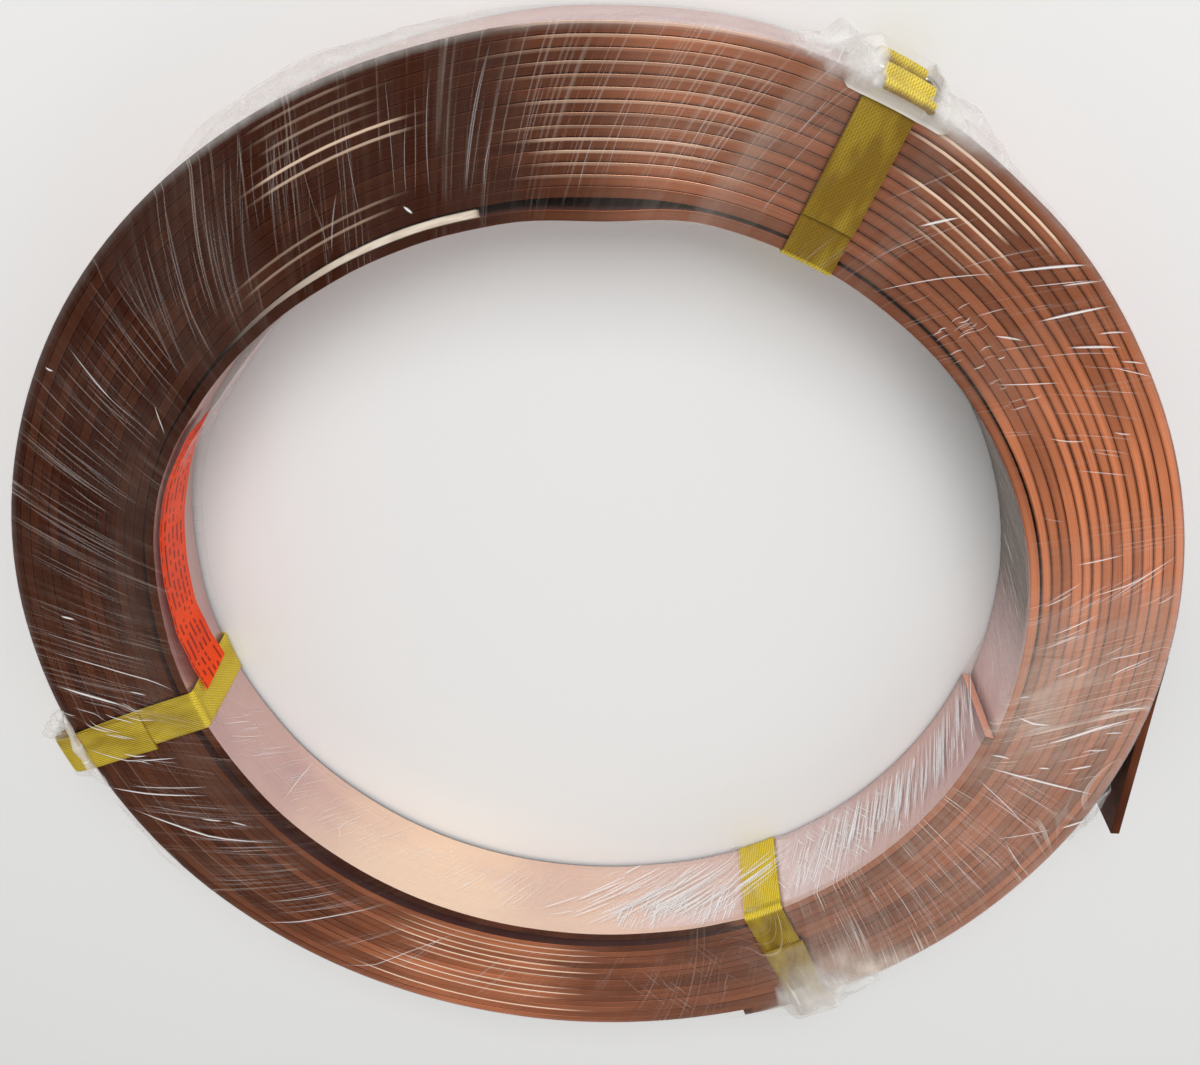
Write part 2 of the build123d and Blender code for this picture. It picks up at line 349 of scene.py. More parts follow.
class Finish:
    """A node material under construction."""

    def __init__(self, name):
        self.material = bpy.data.materials.new(name)
        self.material.use_nodes = True
        self.tree = self.material.node_tree
        self.shader = self.tree.nodes["Principled BSDF"]

    def add(self, kind, sockets=None, **settings):
        made = self.tree.nodes.new(kind)
        for name, value in settings.items():
            setattr(made, name, value)
        for name, value in (sockets or {}).items():
            self.join(made.inputs[name], value)
        return made

    def join(self, socket, value):
        if isinstance(value, bpy.types.NodeSocket):
            self.tree.links.new(value, socket)
        else:
            socket.default_value = value

    def number(self, operation, *values, clamp=False):
        made = self.add("ShaderNodeMath", dict(enumerate(values)), operation=operation, use_clamp=clamp)
        return made.outputs[0]

    def plus(self, first, second, clamp=False):
        return self.number("ADD", first, second, clamp=clamp)

    def times(self, first, second, clamp=False):
        return self.number("MULTIPLY", first, second, clamp=clamp)

    def laid(self):
        """Place on the piece as a vector: metres along it, metres across it and a number of its own."""
        return self.add("ShaderNodeAttribute", attribute_name="lay").outputs["Vector"]

    def laid_parts(self):
        """The same place as three numbers."""
        return self.add("ShaderNodeSeparateXYZ", {0: self.laid()}).outputs

    def painted(self, name):
        """A number that is painted on the piece's points."""
        return self.add("ShaderNodeAttribute", attribute_name=name).outputs["Fac"]

    def grain(self, vector, scale=None, detail=2.0, roughness=0.5):
        """Noise over a vector, with the scale's so many grains for each unit of each of its parts."""
        if scale:
            vector = self.add("ShaderNodeVectorMath", {0: vector, 1: scale}, operation="MULTIPLY").outputs[0]
        sockets = {"Vector": vector, "Scale": 1.0, "Detail": detail, "Roughness": roughness}
        return self.add("ShaderNodeTexNoise", sockets).outputs[0]

    def spread(self, value, low, high, to_low=0.0, to_high=1.0):
        sockets = {"Value": value, "From Min": low, "From Max": high, "To Min": to_low, "To Max": to_high}
        return self.add("ShaderNodeMapRange", sockets, interpolation_type="SMOOTHSTEP").outputs[0]

    def mixed(self, share, first, second):
        made = self.add("ShaderNodeMix", data_type="RGBA")
        self.join(made.inputs[0], share)
        self.join(made.inputs[6], first)
        self.join(made.inputs[7], second)
        return made.outputs[2]

    def bump(self, height, distance, strength=1.0):
        sockets = {"Height": height, "Distance": distance, "Strength": strength}
        return self.add("ShaderNodeBump", sockets).outputs[0]

    def done(self, **sockets):
        """Set the shader's sockets, named in lower case with underscores, and hand over the material."""
        for name, value in sockets.items():
            self.join(self.shader.inputs[name.replace("_", " ").title().replace("Ior", "IOR")], value)
        return self.material


def new_piece(name, points, faces, materials, smooth=True):
    mesh = bpy.data.meshes.new(name)
    mesh.from_pydata(points, [], faces)
    for material in materials:
        mesh.materials.append(material)
    if smooth:
        mesh.shade_smooth()
    piece = bpy.data.objects.new(name, mesh)
    bpy.context.scene.collection.objects.link(piece)
    return piece


def turn_outwards(piece):
    """Make a closed piece's faces all look out."""
    working = bmesh.new()
    working.from_mesh(piece.data)
    bmesh.ops.recalc_face_normals(working, faces=working.faces)
    working.to_mesh(piece.data)
    working.free()


def note_vectors(piece, name, vectors):
    layer = piece.data.attributes.new(name, "FLOAT_VECTOR", "POINT")
    layer.data.foreach_set("vector", [number for vector in vectors for number in vector])


def note_numbers(piece, **layers):
    for name, numbers in layers.items():
        layer = piece.data.attributes.new(name, "FLOAT", "POINT")
        layer.data.foreach_set("value", numbers)


def grid_faces(rows, columns, close_rows=False, close_columns=False, first=0):
    faces = []
    for row in range(rows if close_rows else rows - 1):
        for column in range(columns if close_columns else columns - 1):
            here = first + row * columns
            there = first + (row + 1) % rows * columns
            beside = (column + 1) % columns
            faces.append((here + column, here + beside, there + beside, there + column))
    return faces


def tube_faces(rows, columns):
    """Faces of a tube of rows of points, with a cap at each end."""
    first_row = range(columns)
    last_row = range((rows - 1) * columns, rows * columns)
    return grid_faces(rows, columns, close_columns=True) + [tuple(first_row), tuple(reversed(last_row))]


def paint_strip(piece, rows, columns, wide_columns):
    """Give a strip's wide faces its first finish, its edges the second and its two cut ends the third."""
    sides = [0 if column in wide_columns else 1 for column in range(columns)]
    piece.data.polygons.foreach_set("material_index", sides * (rows - 1) + [2, 2])


def settle(piece, slot, *nodes):
    """Fix a finished piece to the coil's one body and hide the parts it replaces; the slot is not used."""
    if nodes:
        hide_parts(*nodes)
    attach(piece, "root")


def settle_sheet(name, points, columns, material, lay, layer, cover):
    """Make an open sheet of film from rows of points, with its lay and its painted cover."""
    piece = new_piece(name, points, grid_faces(len(points) // columns, columns), [material])
    note_vectors(piece, "lay", lay)
    note_numbers(piece, **{layer: cover})
    settle(piece, "film")


def turn_reach(turn):
    """Reach of the strip's inner face, in millimetres, after so many turns from its inner end."""
    winding = bpy.context.scene.coil_winding
    pitch = winding.thickness + winding.gap
    angle = INNER_END - 360 * turn
    outwards = min(1.0, turn / WHOLE_TURNS)
    bulge = round_the_ring(RIM_WAVE, angle) * (0.35 + 0.65 * outwards)
    turned = math.radians(angle)
    place = Vector((math.cos(turned) * 1.6, math.sin(turned) * 1.6, turn * 2.9))
    drift = 0.4 * winding.gap / MM * noise.noise(place)
    reach = (winding.bore + pitch * turn) / MM + bulge + drift
    reach += round_the_ring(INNER_WAVE, angle) * (1 - outwards)
    if turn < 1:
        reach -= smooth_between(LOOSE_SLACK, angle)
    return reach


def turns_at(angle):
    """Share of a turn, from 0 to 1, at which the strip first passes an angle."""
    return (INNER_END - angle) % 360 / 360


def bore_reach(angle):
    return turn_reach(turns_at(angle))


def rim_reach(angle):
    winding = bpy.context.scene.coil_winding
    turn = turns_at(angle)
    outermost = turn + (WHOLE_TURNS if turn + WHOLE_TURNS <= LAID_TURNS else WHOLE_TURNS - 1)
    return turn_reach(outermost) + winding.thickness / MM


def strip_section(thickness, height, rounding):
    """Outline of the strip from its inner face, as place, height and outward direction."""
    outline = []
    corners = (
        (rounding, rounding, 180), (thickness - rounding, rounding, 270),
        (thickness - rounding, height - rounding, 0), (rounding, height - rounding, 90),
    )
    for across, up, start in corners:
        for part in range(4):
            turned = math.radians(start + 30 * part)
            out = (math.cos(turned), math.sin(turned))
            outline.append((across + rounding * out[0], up + rounding * out[1], out))
    return outline


def strip_piece(piece_name, stations, materials):
    """Sweep the strip's section along stations: reach, angle, lowest height, length, turn and glint."""
    winding = bpy.context.scene.coil_winding
    height = STRIP_WIDTH - winding.unevenness / MM
    section = strip_section(winding.thickness / MM, height, winding.rounding / MM)
    pitch = (winding.thickness + winding.gap) / MM
    points, normals, lay, share_across, buried = [], [], [], [], []
    painted = {"tarnish": [], "wall_tarnish": [], "lines": [], "glint": []}
    for reach, angle, low, length, turn, glint in stations:
        outward = ring_point(1 / MM, angle, 0)
        # The loose innermost turn's edge is painted in full shade from about 195 to 298 degrees
        hung = step(-165, -159, angle) * step(-62, -68, angle) if turn < 1 else 0.0
        tone = {
            "tarnish": max(hung, round_the_ring(EDGE_SHADE, angle)),
            "wall_tarnish": round_the_ring(WALL_SHADE, angle),
            "lines": round_the_ring(GAP_LINE_SHADE, angle),
            "glint": glint,
        }
        squeezed = 1 - max(0.0, round_the_ring(INNER_WAVE, angle)) / WHOLE_TURNS / pitch
        for across, up, out in section:
            points.append(ring_point(reach + across * squeezed, angle, low + up))
            normals.append(outward * out[0] + Vector((0, 0, out[1])))
            lay.append((length * MM, (across + up) * MM, turn))
            share_across.append(across * MM / winding.thickness)
            outside = across * MM > winding.thickness / 2
            covered = turn < LAID_TURNS - 1.01 if outside else turn > 0.995
            buried.append(1.0 if covered else 0.0)
            for name, values in painted.items():
                values.append(tone[name])
    rows, columns = len(stations), len(section)
    piece = new_piece(piece_name, points, tube_faces(rows, columns), materials)
    paint_strip(piece, rows, columns, (7, 15))
    note_vectors(piece, "lay", lay)
    note_numbers(piece, across=share_across, buried=buried, **painted)
    split = []
    for polygon in piece.data.polygons:
        cut_end = polygon.material_index == 2
        split += [polygon.normal if cut_end else normals[corner] for corner in polygon.vertices]
    piece.data.normals_split_custom_set(split)
    return piece


def turn_height(turn, angle):
    """Lowest height of the strip's edge: each turn lies a little above or below the next."""
    winding = bpy.context.scene.coil_winding
    turned = math.radians(angle)
    place = Vector((math.cos(turned) * 1.3, math.sin(turned) * 1.3, turn * 1.7))
    wander = 0.5 + 0.75 * noise.noise(place)
    return BASE + winding.unevenness / MM * min(1.0, max(0.0, wander))


def edge_finish():
    winding = bpy.context.scene.coil_winding
    finish = Finish("copper_slit_edge")
    lay = finish.laid()
    lines = finish.grain(lay, (14, 2600, 3), 3.0, 0.6)
    patches = finish.grain(lay, (22, 60, 2.3), 3.0, 0.55)
    cast = finish.grain(lay, (6, 0, 3.1), 1.0, 0.5)
    # Painted light and shade: the edge runs from lit to shaded copper by the shade painted round the ring
    lit = finish.number("SUBTRACT", 1.0, finish.painted("tarnish"), clamp=True)
    by_turn = finish.times(finish.spread(cast, 0.36, 0.64, -0.26, 0.3), lit)
    shift = finish.plus(finish.spread(patches, 0.3, 0.7, -0.06, 0.06), by_turn)
    tarnish = finish.plus(finish.painted("tarnish"), shift, clamp=True)
    body = finish.mixed(tarnish, tuple(winding.bright), tuple(winding.shaded_copper))
    streaked = finish.mixed(finish.spread(lines, 0.45, 0.75, 0.0, 0.3), body, TONES["slit_streak"])
    across = finish.painted("across")
    beside = finish.number("ABSOLUTE", finish.number("SUBTRACT", across, 0.5))
    uneven = finish.grain(lay, (9, 0, 2.7), 2.0, 0.5)
    # Painted shade along the gaps between turns: the edge darkens towards both faces of the strip
    soil = finish.times(finish.spread(beside, 0.2, 0.42, 0.0, 0.7), finish.painted("lines"))
    soil = finish.times(soil, finish.spread(uneven, 0.38, 0.62, 0.25, 1.2), clamp=True)
    shadowed = finish.mixed(soil, streaked, TONES["groove_shade"])
    # Painted highlight: a bright, less metallic line near the outer edge of the listed turns
    from_line = finish.number("ABSOLUTE", finish.number("SUBTRACT", across, 0.86))
    glint = finish.times(finish.spread(from_line, 0.05, 0.2, 1.0, 0.0), finish.painted("glint"))
    painted_glints = finish.mixed(glint, shadowed, tuple(winding.glinting))
    metallic = finish.spread(glint, 0.0, 1.0, 1.0, 0.4)
    roughness = finish.spread(patches, 0.3, 0.7, 0.30, 0.44)
    normal = finish.bump(lines, 0.00004)
    return finish.done(base_color=painted_glints, metallic=metallic, roughness=roughness, normal=normal)


def face_finish():
    winding = bpy.context.scene.coil_winding
    finish = Finish("copper_rolled_face")
    lay = finish.laid()
    rolled = finish.grain(lay, (9, 900, 5), 3.0, 0.55)
    bloom = finish.grain(lay, (16, 45, 3), 2.0, 0.5)
    # Painted light and shade: the rolled face runs from its lit colour to its shaded colour by the shade
    # painted round the ring
    tarnish = finish.painted("wall_tarnish")
    wall_shaded = finish.plus(tarnish, finish.spread(bloom, 0.35, 0.7, -0.1, 0.1), clamp=True)
    face = finish.mixed(wall_shaded, tuple(winding.face), tuple(winding.shaded_face))
    face = finish.mixed(finish.spread(rolled, 0.5, 0.75, 0, 0.05), face, TONES["roll_mark"])
    # Painted shade: faces hidden between turns are painted dark and given little reflection
    buried = finish.painted("buried")
    face = finish.mixed(buried, face, TONES["buried_face_shade"])
    roughness = finish.plus(finish.spread(rolled, 0.3, 0.7, 0.27, 0.33), finish.times(buried, 0.6))
    metallic = finish.spread(buried, 0.0, 1.0, 0.6, 0.0)
    return finish.done(
        base_color=face, metallic=metallic, roughness=roughness, normal=finish.bump(rolled, 0.000008),
        specular_ior_level=0.15,
    )


def cut_finish():
    finish = Finish("copper_sheared_end")
    tear = finish.grain(finish.laid(), (3000, 900, 1), 3.0, 0.6)
    body = finish.mixed(finish.spread(tear, 0.35, 0.7), TONES["fresh_cut"], TONES["torn_cut"])
    return finish.done(base_color=body, metallic=0.15, roughness=0.42, normal=finish.bump(tear, 0.0001))


class COIL_OT_winding(bpy.types.Operator):
    """Wind the strip from its inner end outwards, with the loose innermost turn"""

    bl_idname = "coil.winding"
    bl_label = "Winding"

    def execute(self, context):
        winding = context.scene.coil_winding
        count = round(LAID_TURNS * winding.steps)
        stations, length, last = [], 0.0, None
        rng = random.Random(winding.seed)
        # Painted highlights for each listed turn, their middles and spreads shifted a little at random
        painted_glints = {}
        for place, spread, turns in GLINTS:
            for turn, strength in turns:
                middle = place + rng.uniform(-0.12, 0.12) * spread
                painted_glints.setdefault(turn, []).append((middle, spread * rng.uniform(0.85, 1.15), strength))
        for station in range(count + 1):
            turn = LAID_TURNS * station / count
            angle = INNER_END - 360 * turn
            reach = turn_reach(turn)
            here = ring_point(reach, angle, 0) / MM
            length += (here - last).length if last else 0.0
            last = here
            glint = 0.0
            for place, spread, strength in painted_glints.get(int(turn), ()):
                glint += strength * step(1.0, 0.6, abs(apart(angle, place)) / spread)
            stations.append((reach, angle, turn_height(turn, angle), length, turn, min(1.0, glint)))
        materials = [face_finish(), edge_finish(), cut_finish()]
        piece = strip_piece("copper_winding", stations, materials)
        settle(piece, "copper", "copper_strip")
        return {"FINISHED"}


class COIL_OT_free_end(bpy.types.Operator):
    """Lay the free end of strip that leaves the rim along a tangent"""

    bl_idname = "coil.free_end"
    bl_label = "Free end"

    def execute(self, context):
        winding = context.scene.coil_winding
        thickness = winding.thickness / MM
        reach_at_root = rim_reach(0) + 0.1
        lean = math.tan(math.radians(FREE_END_LEAN))
        thinnest = 0.05
        rows, columns = 41, 16
        points, lay = [], []
        for row in range(rows):
            along = FREE_END_LENGTH * row / (rows - 1)
            outer = reach_at_root + lean * along
            rim = rim_reach(-math.degrees(math.atan2(along, outer)))
            inner = max(outer - thickness, math.sqrt(max(0.0, rim**2 - along**2)) + thinnest)
            depth = max(thinnest, outer - inner)
            ease = min(winding.rounding / MM, depth / 3)
            for at_outside, at_top, start in ((0, 0, 270), (0, 1, 180), (1, 1, 90), (1, 0, 0)):
                for part in range(4):
                    turned = math.radians(start - 30 * part)
                    out = (depth - ease if at_outside else ease) + ease * math.cos(turned)
                    up = (STRIP_WIDTH - ease if at_top else ease) + ease * math.sin(turned)
                    points.append(Vector((outer - depth + out, -along, BASE + up)) * MM)
                    lay.append((along * MM, (out + up) * MM, 40))
        finishes = [free_face_finish(), edge_finish(), cut_finish()]
        piece = new_piece("free_end", points, tube_faces(rows, columns), finishes)
        paint_strip(piece, rows, columns, (3, 11))
        note_vectors(piece, "lay", lay)
        # The free end's edges are painted in shade
        note_numbers(piece, tarnish=[0.9] * len(points), across=[0.5] * len(points))
        turn_outwards(piece)
        piece.data.set_sharp_from_angle(angle=math.radians(35))
        settle(piece, "copper")
        return {"FINISHED"}


def free_face_finish():
    finish = Finish("copper_free_face_in_shade")
    # Painted shade: the free end's face is copper painted dark, mottled between two shade tones
    cloud = finish.grain(finish.laid(), (60, 60, 1), 4.0, 0.6)
    body = finish.mixed(finish.spread(cloud, 0.35, 0.7), TONES["free_end_shade"], TONES["free_end_deep_shade"])
    return finish.done(base_color=body, metallic=0.9, roughness=0.5, normal=finish.bump(cloud, 0.00005))


def strap_angle(name, reach, lap=False):
    """Angle of a strap's middle line where it crosses a reach."""
    strap = STRAPS[name]
    across = min(1.0, max(0.0, (reach - BORE_SIDE) / (RIM_SIDE - BORE_SIDE)))
    slipped = strap.slip * step(RIM_SIDE + 0.4, RIM_SIDE + 1.9, reach)
    return strap.angle + strap.skew * across + slipped + (strap.lap_skew * (1 - across) if lap else 0.0)


def off_strap(name, angle, reach):
    """Distance round the ring from a strap's middle line, in millimetres."""
    return abs(math.radians(apart(angle, strap_angle(name, reach)))) * reach


def strap_bounds(name):
    """Inner and outer reach of the strap's middle line, in millimetres."""
    half_angle = 3.4
    inner_angle, outer_angle = strap_angle(name, BORE_SIDE), strap_angle(name, RIM_SIDE)
    samples = [half_angle * part / 3 for part in range(-3, 4)]
    low = min(bore_reach(inner_angle + more) for more in samples)
    high = max(rim_reach(outer_angle + more) for more in samples)
    return low - STRAP_SIDE_REST, high + STRAP_SIDE_REST


def corner_points(across, up, radius, start, parts=6):
    points = []
    for part in range(parts + 1):
        turned = math.radians(start - 90 * part / parts)
        out = (math.cos(turned), math.sin(turned))
        points.append((across + radius * out[0], up + radius * out[1], out[0], out[1]))
    return points


def straight_points(start, end, out, parts):
    points = []
    for part in range(1, parts):
        share = part / parts
        points.append((start[0] + (end[0] - start[0]) * share, start[1] + (end[1] - start[1]) * share, *out))
    return points


def loop_path(low_x, high_x, low_z, high_z, radius):
    """Closed path round the ring's section, clockwise from the inner face, with outward directions."""
    path = corner_points(low_x + radius, high_z - radius, radius, 180)
    path += straight_points((low_x + radius, high_z), (high_x - radius, high_z), (0, 1), 18)
    path += corner_points(high_x - radius, high_z - radius, radius, 90)
    path += straight_points((high_x, high_z - radius), (high_x, low_z + radius), (1, 0), 14)
    path += corner_points(high_x - radius, low_z + radius, radius, 0)
    path += straight_points((high_x - radius, low_z), (low_x + radius, low_z), (0, -1), 18)
    path += corner_points(low_x + radius, low_z + radius, radius, 270)
    path += straight_points((low_x, low_z + radius), (low_x, high_z - radius), (-1, 0), 14)
    return path


def wire_heights():
    """Heights of the buckle's two cross wires."""
    wire = bpy.context.scene.coil_straps.wire / MM
    spread = BUCKLE_HEIGHT / 2 - wire / 2
    return MIDDLE + spread, MIDDLE - spread


def wire_reach(name):
    """Reach of the buckle's upper cross wire."""
    straps = bpy.context.scene.coil_straps
    return strap_bounds(name)[1] + straps.thickness / MM + STRAP_REST + straps.wire / MM / 2


def lap_path(name):
    """Open path of the second layer: along the upper face, down the rim and over the two cross wires."""
    straps = bpy.context.scene.coil_straps
    thick = straps.thickness / MM
    strap = STRAPS[name]
    top_z = TOP + STRAP_SIDE_REST + thick + LAP_REST
    rim_x = strap_bounds(name)[1] + thick + LAP_REST
    radius = 1.6 + thick
    brow_x = rim_x + strap.fold
    path = [(strap.lap_start, top_z, 0, 1)]
    path += straight_points((strap.lap_start, top_z), (brow_x - radius, top_z), (0, 1), 10)
    path += corner_points(brow_x - radius, top_z - radius, radius, 90)
    heights = wire_heights()
    around = straps.wire / MM / 2 + STRAP_REST
    centre = wire_reach(name)
    tail, flank = 4, 1.8
    lowest = heights[1] - around - tail
    rows = 44
    first_z = top_z - radius
    traced = []
    for row in range(1, rows + 1):
        height = first_z + (lowest - first_z) * row / rows
        reach = rim_x + strap.fold * step(heights[0] - 3, heights[0] + 3, height)
        for wire_height, more in zip(heights, (0.0, BUCKLE_TILT)):
            away = abs(height - wire_height)
            if away < around + flank:
                crest = centre + around + more
                reach = max(reach, rim_x + (crest - rim_x) * step(around + flank, 0.4, away) ** 0.7)
        traced.append((reach, height))
    for row, (reach, height) in enumerate(traced):
        before = traced[row - 1] if row else (brow_x, first_z)
        after = traced[min(row + 1, rows - 1)]
        along = Vector((after[0] - before[0], after[1] - before[1])).normalized()
        path.append((reach, height, -along.y, along.x))
    return path


def band_piece(strap_name, layer, path, closed, material):
    """Thin band along a path in the ring's section plane, as a closed slab that follows the ring's curve."""
    straps = bpy.context.scene.coil_straps
    width, thick = straps.width / MM, straps.thickness / MM
    soil = STRAPS[strap_name].soil
    across_steps = 16
    points, lay, worn = [], [], []
    travelled, last = 0.0, None
    for reach, height, out_x, out_z in path:
        if last:
            travelled += math.hypot(reach - last[0], height - last[1])
        last = (reach, height)
        angle = strap_angle(strap_name, reach, lap=layer == "lap")
        for side in (1, 0):
            for column in range(across_steps + 1):
                share = column / across_steps if side else 1 - column / across_steps
                across = (share - 0.5) * width
                edge_ease = 0.25 * thick * step(0.46, 0.5, abs(share - 0.5))
                lift = (thick - edge_ease) if side else edge_ease
                radius = reach + out_x * lift
                turned = angle + math.degrees(across / max(radius, 1.0))
                points.append(ring_point(radius, turned, height + out_z * lift))
                lay.append((travelled * MM, across * MM, side))
                # Painted shade on the strap's upward faces
                worn.append(soil * step(0.75, 0.98, out_z))
    columns = 2 * (across_steps + 1)
    faces = grid_faces(len(path), columns, close_rows=closed, close_columns=True)
    if not closed:
        for start in (0, (len(path) - 1) * columns):
            for column in range(across_steps):
                here, facing = start + column, start + columns - 1 - column
                faces.append((here, here + 1, facing - 1, facing))
    piece = new_piece(f"strap_{strap_name}_{layer}", points, faces, [material])
    note_vectors(piece, "lay", lay)
    note_numbers(piece, worn=worn)
    turn_outwards(piece)
    piece.data.set_sharp_from_angle(angle=math.radians(50))
    return piece


def strap_finish():
    straps = bpy.context.scene.coil_straps
    finish = Finish("corded_strapping")
    lay = finish.laid()
    along, across, _ = finish.laid_parts()
    cord_pitch = 0.0008
    cords = finish.number("SINE", finish.times(across, 2 * math.pi / cord_pitch))
    twill = finish.number("SINE", finish.plus(finish.times(across, 5200), finish.times(along, 4300)))
    fray = finish.grain(lay, (350, 3500, 1), 3.0, 0.6)
    shade = finish.grain(lay, (45, 120, 1), 2.0, 0.5)
    height = finish.plus(finish.times(cords, 0.35), finish.times(twill, 0.25))
    height = finish.plus(height, finish.times(fray, 0.9))
    # Painted shade: the upward faces run towards the shaded strapping colour, with random patches
    soil = finish.plus(finish.painted("worn"), finish.spread(shade, 0.3, 0.7, -0.2, 0.2), clamp=True)
    body = finish.mixed(soil, tuple(straps.colour), tuple(straps.worn))
    # Painted shade in the grooves between the cords
    body = finish.mixed(finish.spread(height, -0.1, 1.0, 0.55, 0.0), body, TONES["cord_groove_shade"])
    return finish.done(
        base_color=body, roughness=0.6, normal=finish.bump(height, 0.00018, 0.8), specular_ior_level=0.12,
    )


class COIL_OT_straps(bpy.types.Operator):
    """Loop a corded strap round the ring's section at three places, each lapped on itself"""

    bl_idname = "coil.straps"
    bl_label = "Straps"

    def execute(self, context):
        material = strap_finish()
        bend = 1.4
        for name in STRAPS:
            path = loop_path(*strap_bounds(name), BASE - STRAP_REST, TOP + STRAP_REST, bend)
            settle(band_piece(name, "loop", path, True, material), "strapping", f"strap_{name}")
            settle(band_piece(name, "lap", lap_path(name), False, material), "strapping")
        return {"FINISHED"}


def tube_piece(name, line, radius_at, sides, materials, closed=False):
    """Round tube along a line of points, with a radius for each share of its length and each direction."""
    points, lay = [], []
    travelled = 0.0
    count = len(line)
    side_way = None
    for order, here in enumerate(line):
        before = line[order - 1] if order or closed else here
        after = line[(order + 1) % count] if order + 1 < count or closed else here
        along = (after - before).normalized()
        if side_way is None:
            side_way = along.orthogonal().normalized()
        side_way = (side_way - along * side_way.dot(along)).normalized()
        other_way = along.cross(side_way)
        if order:
            travelled += (here - line[order - 1]).length
        for side in range(sides):
            turned = 2 * math.pi * side / sides
            out = side_way * math.cos(turned) + other_way * math.sin(turned)
            points.append((here + out * radius_at(order / max(1, count - 1), turned)) * MM)
            lay.append((travelled * MM, turned * MM, 0))
    faces = grid_faces(count, sides, True, True) if closed else tube_faces(count, sides)
    piece = new_piece(name, points, faces, materials)
    note_vectors(piece, "lay", lay)
    turn_outwards(piece)
    return piece


def wire_finish():
    finish = Finish("buckle_wire")
    drawn = finish.grain(finish.laid(), (120, 4000, 1), 3.0, 0.6)
    body = finish.mixed(finish.spread(drawn, 0.35, 0.7), TONES["bright_wire"], TONES["dull_wire"])
    return finish.done(base_color=body, metallic=1.0, roughness=0.33, normal=finish.bump(drawn, 0.00003))


class COIL_OT_buckles(bpy.types.Operator):
    """Bend a wire buckle under each strap's lap, where it stands on the rim"""

    bl_idname = "coil.buckles"
    bl_label = "Wire buckles"

    def execute(self, context):
        half_wire = context.scene.coil_straps.wire / MM / 2
        half_width = BUCKLE_WIDTH / 2 - half_wire
        half_height = BUCKLE_HEIGHT / 2 - half_wire
        material = wire_finish()
        for name in STRAPS:
            reach = wire_reach(name)
            angle = math.radians(strap_angle(name, reach))
            outward = Vector((math.cos(angle), math.sin(angle), 0))
            sideways = Vector((-math.sin(angle), math.cos(angle), 0))
            line = []
            for side, up, start in ((1, 1, 0), (-1, 1, 90), (-1, -1, 180), (1, -1, 270)):
                for part in range(7):
                    turned = math.radians(start + 15 * part)
                    across = side * (half_width - BUCKLE_CORNER) + BUCKLE_CORNER * math.cos(turned)
                    rise = up * (half_height - BUCKLE_CORNER) + BUCKLE_CORNER * math.sin(turned)
                    bow = across * across / (2 * reach)
                    tilted = BUCKLE_TILT * (0.5 - rise / BUCKLE_HEIGHT)
                    place = outward * (reach - bow + tilted) + sideways * across
                    line.append(place + Vector((0, 0, MIDDLE + rise)))
            buckle = tube_piece(
                f"buckle_wire_{name}", line, lambda share, turned: half_wire, 12, [material], closed=True
            )
            settle(buckle, "buckle_wire", f"buckle_{name}")
        return {"FINISHED"}


def label_finish():
    label = bpy.context.scene.coil_label
    finish = Finish("label_paper")
    lay = finish.laid()
    along, across, side = finish.laid_parts()
    row_pitch, half_print = 0.0033, 0.0098
    row = finish.number("DIVIDE", finish.plus(across, 0.012), row_pitch)
    in_row = finish.number("FRACT", row)
    bar = finish.times(finish.number("GREATER_THAN", in_row, 0.36), finish.number("LESS_THAN", in_row, 0.72))
    row_number = finish.number("FLOOR", row)
    sockets = {0: finish.times(along, 420), 1: finish.times(row_number, 7.3)}
    place = finish.add("ShaderNodeCombineXYZ", sockets).outputs[0]
    dashes = finish.number("GREATER_THAN", finish.grain(place, detail=0.0), 0.47)
    inside = finish.times(finish.number("LESS_THAN", finish.number("ABSOLUTE", across), half_print), side)
    printed = finish.times(finish.times(bar, dashes), inside)
    fibre = finish.grain(lay, (900, 900, 1), 3.0, 0.6)
    crease = finish.grain(lay, (70, 25, 1), 2.0, 0.5)
    paper = finish.mixed(finish.spread(crease, 0.35, 0.7), tuple(label.colour), TONES["creased_paper"])
    body = finish.mixed(finish.times(printed, 0.8), paper, tuple(label.print_colour))
    normal = finish.bump(finish.plus(fibre, finish.times(crease, 6)), 0.00006)
    return finish.done(base_color=body, roughness=0.6, normal=normal, specular_ior_level=0.1)


